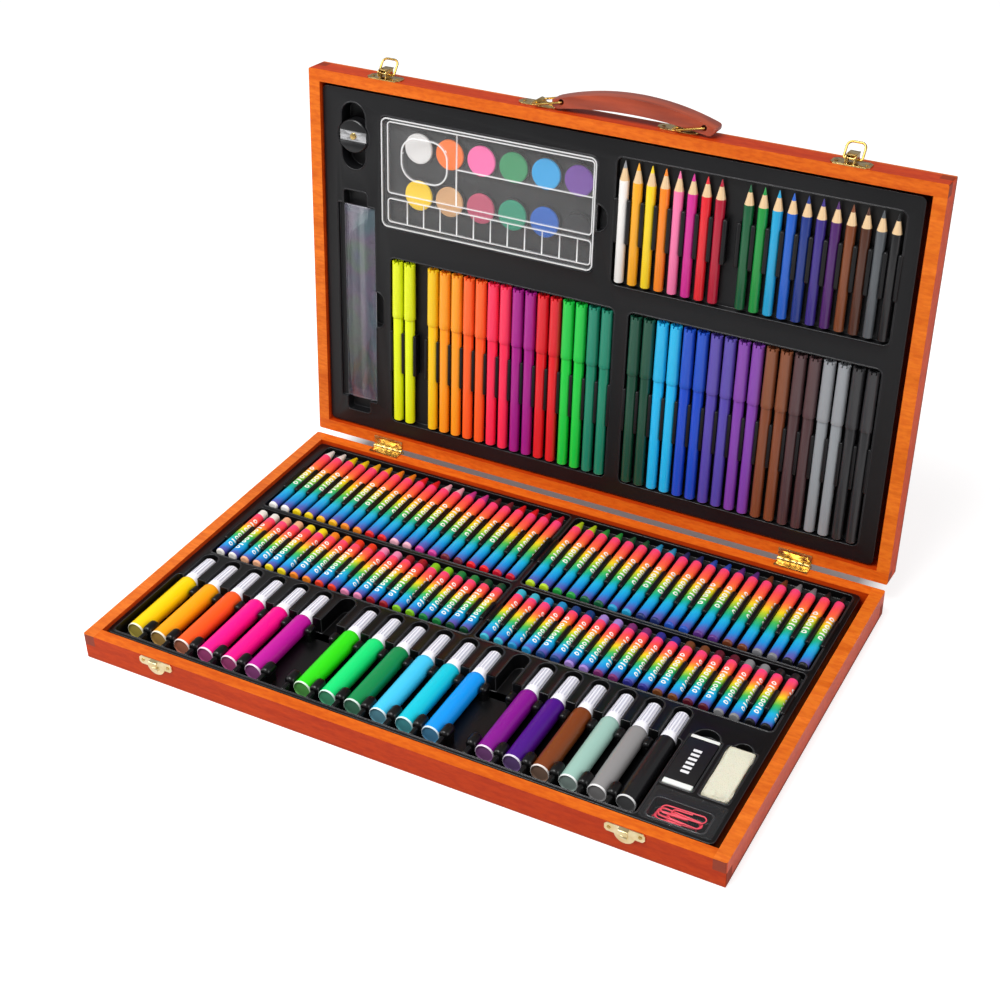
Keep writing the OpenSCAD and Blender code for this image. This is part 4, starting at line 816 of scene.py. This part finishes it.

# -------- lid tray
# The lid's tray is formed from the same sheet as the base's; its black is a little lighter, a painted sheen.
# It has finger notches round the ruler and at the paint box, and a round place with a finger slot across it
# for the sharpener.

lid_swing = -95  # degrees from shut to standing open
hinge_at = Matrix.Translation((0, 147.2, 21.6))
lid_shut = Matrix.Translation((0, 145.5, 22.7)) @ Matrix.Rotation(math.pi, 4, "X")
lid_place = (Matrix.Scale(0.001, 4) @ hinge_at @ Matrix.Rotation(math.radians(lid_swing), 4, "X")
             @ hinge_at.inverted() @ lid_shut)
pencil_first, pencil_pitch, pencil_count, pencil_r = 15.7, 10.0, 20, 3.45
pen_firsts, pen_pitch, pen_count, pen_r, pen_cap_r = (-163.7, 31.1), 10.15, 18, 3.85, 4.5
stick_sink, row_gap = 1.8, 0.4
pencil_deep, pen_deep = stick_sink + pencil_r, stick_sink + pen_cap_r
lid_pockets = [[first - pitch / 2 - row_gap, y0, first + (count - 0.5) * pitch + row_gap, y1, corner, deep]
               for first, pitch, count, y0, y1, corner, deep in
               [(pencil_first, pencil_pitch, pencil_count, 175.5, 267.5, 4.5, pencil_deep)]
               + [(first, pen_pitch, pen_count, 22, 157.5, 4, pen_deep) for first in pen_firsts]]
lid_pockets += [[-177, 180.6, -3.8, 264.4, 5, 10.8],  # paint box
                [-214.2, 33.2, -182.4, 192.8, 1, 2.5],  # ruler
                [-209.6, 220.4, -189.6, 270, 9.9, 11.5],  # finger slot of the sharpener
                [-209.1, 22.5, -189.1, 40, 2.5, 8],  # finger notches of the ruler
                [-209.1, 186, -189.1, 203.5, 2.5, 8],
                [-189, 98, -175.5, 127, 6.5, 8],
                [-14.4, 211.5, 5.6, 231.5, 9.9, 8],  # finger notch of the paint box
                [-212.5, 232.3, -186.7, 258.1, 12.8, 8]]  # sharpener
lid_ridges = row_of(clip_ridge(1.7, 2.4, tray_top + 1.4, tray_top - pencil_deep - root_sink, 206.5, 239),
                    pencil_first - pencil_pitch / 2, pencil_pitch, pencil_count + 1)
for first in pen_firsts:
    lid_ridges += row_of(clip_ridge(1.4, 2.0, tray_top + 1.2, tray_top - pen_deep - root_sink, 64.5, 98.5),
                         first - pen_pitch / 2, pen_pitch, pen_count + 1)
lid_sheet, lid_foot = (-225.2, 10.4, 221.8, 279.4), -16.3
# The lid's black is a little lighter than the base's, a painted sheen; the second finish paints a highlight
# on the rounded edges.
lid_tray = formed_tray("tray_lid", lid_sheet, lid_foot, lid_pockets, lid_ridges,
                       formed_black("formed_black_lid_painted_sheen", 0.4, "#0e0e10", "#141416"),
                       formed_black("painted_highlight_edge_lid", 0.25, "#242426", "#303032"))
lid_tray.data.transform(lid_place)
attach(lid_tray, "lid")
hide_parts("lid_tray")

# -------- coloured pencils
# Nineteen half-length pencils, points up; one place is empty. Each is a lacquered round barrel sharpened to
# a bare wood cone and a coloured lead.

pencil_white, pencil_wood = "#efece8", "#e3c194"
pencil_foot, cone_from, lead_from = 177.9, 73.9, 82.4
pencil_codes = [pencil_white, "#f5a81c", "#f6d21c", "#f58418", "#f478a8", "#d02890", "#e0202c", "#b01030",
                None, "#0f5a34", "#18903c", "#1ca0d0", "#1c5cc0", "#1c3480", "#3a2a80", "#4a1c64", "#7a4020",
                "#4c2818", "#54585c", "#161618"]


def pencil_shade(face, code):
    """Bare wood on the cone, and a grey point on the white pencil."""
    if cone_from < face.center.y < lead_from and face.normal.y > 0.1:
        return pencil_wood
    return "#8c8e92" if code == pencil_white and face.center.y > lead_from else None


pencil = turned([(0, 2.9), (0.25, 3.3), (0.6, pencil_r), (73.6, pencil_r), (74.0, 3.36), (82.5, 1.42),
                 (87.1, 0.3), (87.5, 0.12)])
pencil.data.materials.append(tinted_finish("pencil_lacquer", 0.3, Coat_Weight=0.2))
pencils = joined(coloured_row(pencil, pencil_first, pencil_pitch, pencil_codes,
                              (pencil_foot, tray_top - stick_sink), pencil_shade), "pencils")
smooth_shaded(pencils, 25)
pencils.data.transform(lid_place)
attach(pencils, "lid")
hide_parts("pencil_barrels", "pencil_cones", "pencil_leads")

# -------- fibre pens
# Thirty-five slim pens stand under the pencils and the paint box, two of most colours; one place is empty.
# Each is moulded in its ink's colour, and its cap ends in a ring of small teeth.

pen_left = twice("#e4f000", "#f8c400", "#ff9a10", "#ff5c18", "#ff2450", "#a40a84", "#e0101c", "#0cc83c",
                 "#0c8062")
pen_left[2:5] = [None, "#f8c400", "#ff9a10"]
pen_right = twice("#0a4430", "#14b4ea", "#0c44c0", "#5040a4", "#7c38a4", "#7c4022", "#4a3032", "#8c9094",
                  "#242426")
pen_foot, teeth_at, tooth_height = 24, 129.6, 1.8


def pen_shade(face, code):
    """A paler end."""
    return lighter(code, 0.6) if face.center.y < 0.5 else None


pen_plastic = tinted_finish("pen_plastic", 0.33, Coat_Weight=0.15)
for side, first, codes in (("left", pen_firsts[0], pen_left), ("right", pen_firsts[1], pen_right)):
    barrel = turned([(0.5, 2.6), (0.3, 2.9), (0, 3.0), (0, 3.5), (0.4, pen_r), (86.4, pen_r),
                     (87.5, 3.4)], 20)
    barrel.data.materials.append(pen_plastic)
    barrels = joined(coloured_row(barrel, first, pen_pitch, codes, (pen_foot, tray_top - stick_sink),
                                  pen_shade), "pen_barrels_" + side)
    cap = turned([(86.7, 3.6), (86.72, 4.4), (87.0, pen_cap_r), (90, pen_cap_r), (teeth_at, 4.25),
                  (teeth_at, 3.1), (126.5, 3.0)], 24)
    edit_in_turn(cap, teeth_at - 0.01, teeth_at + 0.01, lambda i: i % 3 > 0)
    bpy.ops.mesh.extrude_region_move(TRANSFORM_OT_translate={"value": (0, tooth_height, 0)})
    bpy.ops.object.mode_set(mode="OBJECT")
    cap.data.materials.append(pen_plastic)
    caps = joined(coloured_row(cap, first, pen_pitch, [c and lighter(c, 0.93) for c in codes],
                               (pen_foot, tray_top - stick_sink)), "pen_caps_" + side)
    for piece in (barrels, caps):
        smooth_shaded(piece, 35)
        piece.data.transform(lid_place)
        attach(piece, "lid")
    if side == "left":
        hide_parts("pen_barrels")
        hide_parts("pen_caps")

# -------- paint box
# A black tray with twelve pressed paint tablets in low rings, under a clear lid whose raised walls divide
# it into mixing wells. Its walls are whiter, a painted sheen, and their tops whiter still, a painted
# highlight.

box_black, _, _ = finish_named("paint_box_black", 0.35, Base_Color=colour("#18181a"))
softened("paint_box", box_black, 0.3)
paint_x, paint_y = -176.4, 181.2
paint_rise, paint_h, paint_wall = 0.2, 11, 1.2
paint_floor = tray_top + paint_rise - paint_h + paint_wall
tablet_first, tablet_pitch = 27.8, 25.66
tablet_rows = ((61.7, ("#dad8d6", "#f5751c", "#f468a8", "#2c8c58", "#1c9cd8", "#6c3c98")),
               (26.5, ("#f5cc1c", "#d0a070", "#b84c68", "#1f8c6c", "#1c5cb4", "#1c1c20")))
tablets = []
for row_y, codes in tablet_rows:
    for i, code in enumerate(codes):
        tablet = turned([(0, 11.0), (3.3, 11.15), (3.8, 10.9), (4.0, 10.3), (3.85, 8.6), (3.8, 4.0)], 40)
        tinted(tablet, code)
        tablet_x = paint_x + tablet_first + i * tablet_pitch
        tablet.data.transform(Matrix.Translation((tablet_x, paint_y + row_y, paint_floor))
                              @ Matrix.Rotation(math.pi / 2, 4, "X"))
        tablets.append(tablet)
tablets = joined(tablets, "paint_tablets_pressed")
tablets.data.materials.append(tinted_finish("pressed_pigment", 0.85, 0.35))
smooth_shaded(tablets, 40)
tablets.data.transform(lid_place)
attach(tablets, "paint_set")
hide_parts("paint_tablets")

wall_foot = -0.1505  # how far out of the lid the palette's walls begin
flat_alpha, wall_painted_sheen, top_painted_highlight = 0.04, 0.2, 0.44  # the flat sheet's alpha, and what the walls' painted sheen and their tops' painted highlight add
palette_clear = clear_plastic("palette_clear", "#ffffff", flat_alpha, 0.15)
palette_tree = palette_clear.node_tree
height = component(palette_tree, own(palette_tree), lid_out)
outward = component(palette_tree, own(palette_tree, "Normal"), lid_out)
in_wall = calc(palette_tree, "GREATER_THAN", height, wall_foot)
on_top = calc(palette_tree, "MULTIPLY", in_wall, calc(palette_tree, "GREATER_THAN", outward, 0.5))
# Walls are painted whiter as a sheen, and their tops whiter still as a highlight.
alpha_with_painted_light = calc(palette_tree, "MULTIPLY_ADD", on_top, top_painted_highlight,
              calc(palette_tree, "MULTIPLY_ADD", in_wall, wall_painted_sheen, flat_alpha))
palette_tree.links.new(alpha_with_painted_light, palette_tree.nodes["Principled BSDF"].inputs["Alpha"])
softened("paint_lid", palette_clear, 0.12, 1)

# -------- ruler
# A clear ruler with two bevelled edges: millimetre ticks along the left one, eighths of an inch along the
# right one. The flat strip between them is a little frosted.

ruler_left, ruler_width, ruler_low = -210.0, 27.0, 34
ruler_plastic, ruler_tree, ruler_shader = finish_named("ruler_plastic", 0.12, Alpha=0.5, Coat_Weight=0.4)
ruler_plastic.surface_render_method = "BLENDED"
up_lid = (lid_place.to_3x3() @ Vector((0, 1, 0))).normalized()
ruler_foot = (lid_place @ Vector((0, ruler_low, 0))).dot(up_lid) * 1000
across = calc(ruler_tree, "SUBTRACT", place_in_mm(ruler_tree)[0], ruler_left)
along = component(ruler_tree, own(ruler_tree), tuple(up_lid))
along = calc(ruler_tree, "SUBTRACT", calc(ruler_tree, "MULTIPLY", along, 1000.0), ruler_foot + 4)


def ticks(tree, every, width, from_edge, reach):
    """Marks of one length at even steps along the ruler, counted from one edge."""
    return calc(tree, "MULTIPLY", calc(tree, "LESS_THAN", calc(tree, "FLOORED_MODULO", along, every), width),
                calc(tree, "LESS_THAN", from_edge, reach))


other_edge = calc(ruler_tree, "SUBTRACT", ruler_width, across)
tick_mask = 0.0
for every, width, from_edge, reach in ((1.0, 0.22, across, 2.4), (5.0, 0.26, across, 3.6),
                                       (10.0, 0.3, across, 5.0), (3.175, 0.24, other_edge, 2.4),
                                       (12.7, 0.3, other_edge, 4.0), (25.4, 0.34, other_edge, 5.4)):
    tick_mask = calc(ruler_tree, "MAXIMUM", tick_mask, ticks(ruler_tree, every, width, from_edge, reach))
tick_mask = calc(ruler_tree, "MULTIPLY", tick_mask, between(ruler_tree, along, -0.1, 150.4))
strips = ramp(ruler_tree, calc(ruler_tree, "DIVIDE", across, ruler_width),
              [(0.0, "#7c7e82"), (0.2, "#5c5e62"), (0.26, "#8a8c90"), (0.48, "#6a6c70"), (0.52, "#a0a2a4"),
               (0.64, "#909296"), (0.68, "#606266"), (0.8, "#505258"), (0.96, "#787a80")])
# A painted iridescent sheen, mixed into the grey bands across the ruler.
sheen = ramp(ruler_tree, grainy(ruler_tree, 26.0),
             [(0.34, "#6c7494"), (0.44, "#6c8c6c"), (0.54, "#8c6c96"), (0.64, "#5c8490")])
bands_with_painted_sheen = blended(ruler_tree, 0.4, strips, sheen)
show(ruler_tree, ruler_shader, blended(ruler_tree, tick_mask, bands_with_painted_sheen, colour("#141418")))
# The ruler's rounded edges take a pale, less clear material, a painted highlight.
softened("ruler", ruler_plastic, 0.15, 1, clear_plastic("ruler_edge_painted_highlight", "#e0e2e6", 0.6))

# -------- sharpener
# A black round body with a slot across its face; the ground steel blade lies in it, held by one screw over
# the tapered hole.

sharpener_black, _, _ = finish_named("sharpener_black", 0.3, Base_Color=colour("#141416"))
blade_steel, steel_tree, steel_shader = finish_named("blade_steel", 0.28, Metallic=1.0)
brushed = grainy(steel_tree, 900.0, 2.0, (0.1, 1.0, 1.0))
show(steel_tree, steel_shader, ramp(steel_tree, brushed, [(0.3, "#b4b4b6"), (0.7, "#dadadc")]))
softened("sharpener_body", sharpener_black, 0.35)
softened("sharpener_blade", blade_steel, 0.12)

# -------- hinges, latches and strikes
# All the fittings are pressed from thin brass-plated sheet and bent from brass wire, and nailed on with
# round-headed nails.


def plated(name, light, dark, roughness):
    """Bright brass plating with faint smears."""
    made, tree, shader = finish_named(name, roughness, Metallic=1.0)
    smear = grainy(tree, 160.0)
    show(tree, shader, ramp(tree, smear, [(0.3, dark), (0.7, light)]))
    tree.links.new(calc(tree, "MULTIPLY_ADD", smear, 0.14, roughness - 0.06), shader.inputs["Roughness"])
    return made


brass = plated("brass_plating", "#e8cc88", "#be9850", 0.2)
pale_brass = plated("pale_brass", "#fbeec4", "#ead398", 0.32)
wire_brass = plated("brass_wire", "#dcb768", "#b48c40", 0.2)
softened("sharpener_screw", brass, 0.12)
softened("strike_plates", pale_brass, 0.14)
for node in ("hinge_base_leaves", "hinge_lid_leaves", "latch_plates", "latch_lever_left",
             "latch_lever_right"):
    softened(node, brass, 0.14)
for node in ("hinge_pins", "latch_pins", "hinge_base_nails", "hinge_lid_nails", "latch_nails",
             "strike_nails"):
    softened(node, brass, 0.1)
for node in ("latch_loop_left", "latch_loop_right"):
    softened(node, wire_brass, 0.1, 1)

# -------- carrying handle
# A moulded red-brown grip, bowed along its length, hangs on two wire links; each link turns in the hump of
# a brass plate that is nailed to the lid's front rail.

for node in ("handle_plates", "handle_nails"):
    softened(node, brass, 0.14)
for node in ("handle_link_left", "handle_link_right"):
    softened(node, wire_brass, 0.1, 1)
grip_moulding, grip_tree, grip_shader = finish_named("grip_moulding", 0.4, Coat_Weight=0.2)
streaks = grainy(grip_tree, 70.0, 4.0, (0.25, 2.0, 2.0))
show(grip_tree, grip_shader,
     ramp(grip_tree, streaks, [(0.25, "#7a2812"), (0.6, "#a84222"), (0.8, "#b8502c")]))
bumped(grip_tree, grip_shader, streaks, 0.2, 0.0004)
softened("handle_grip", grip_moulding, 1.1, 4)
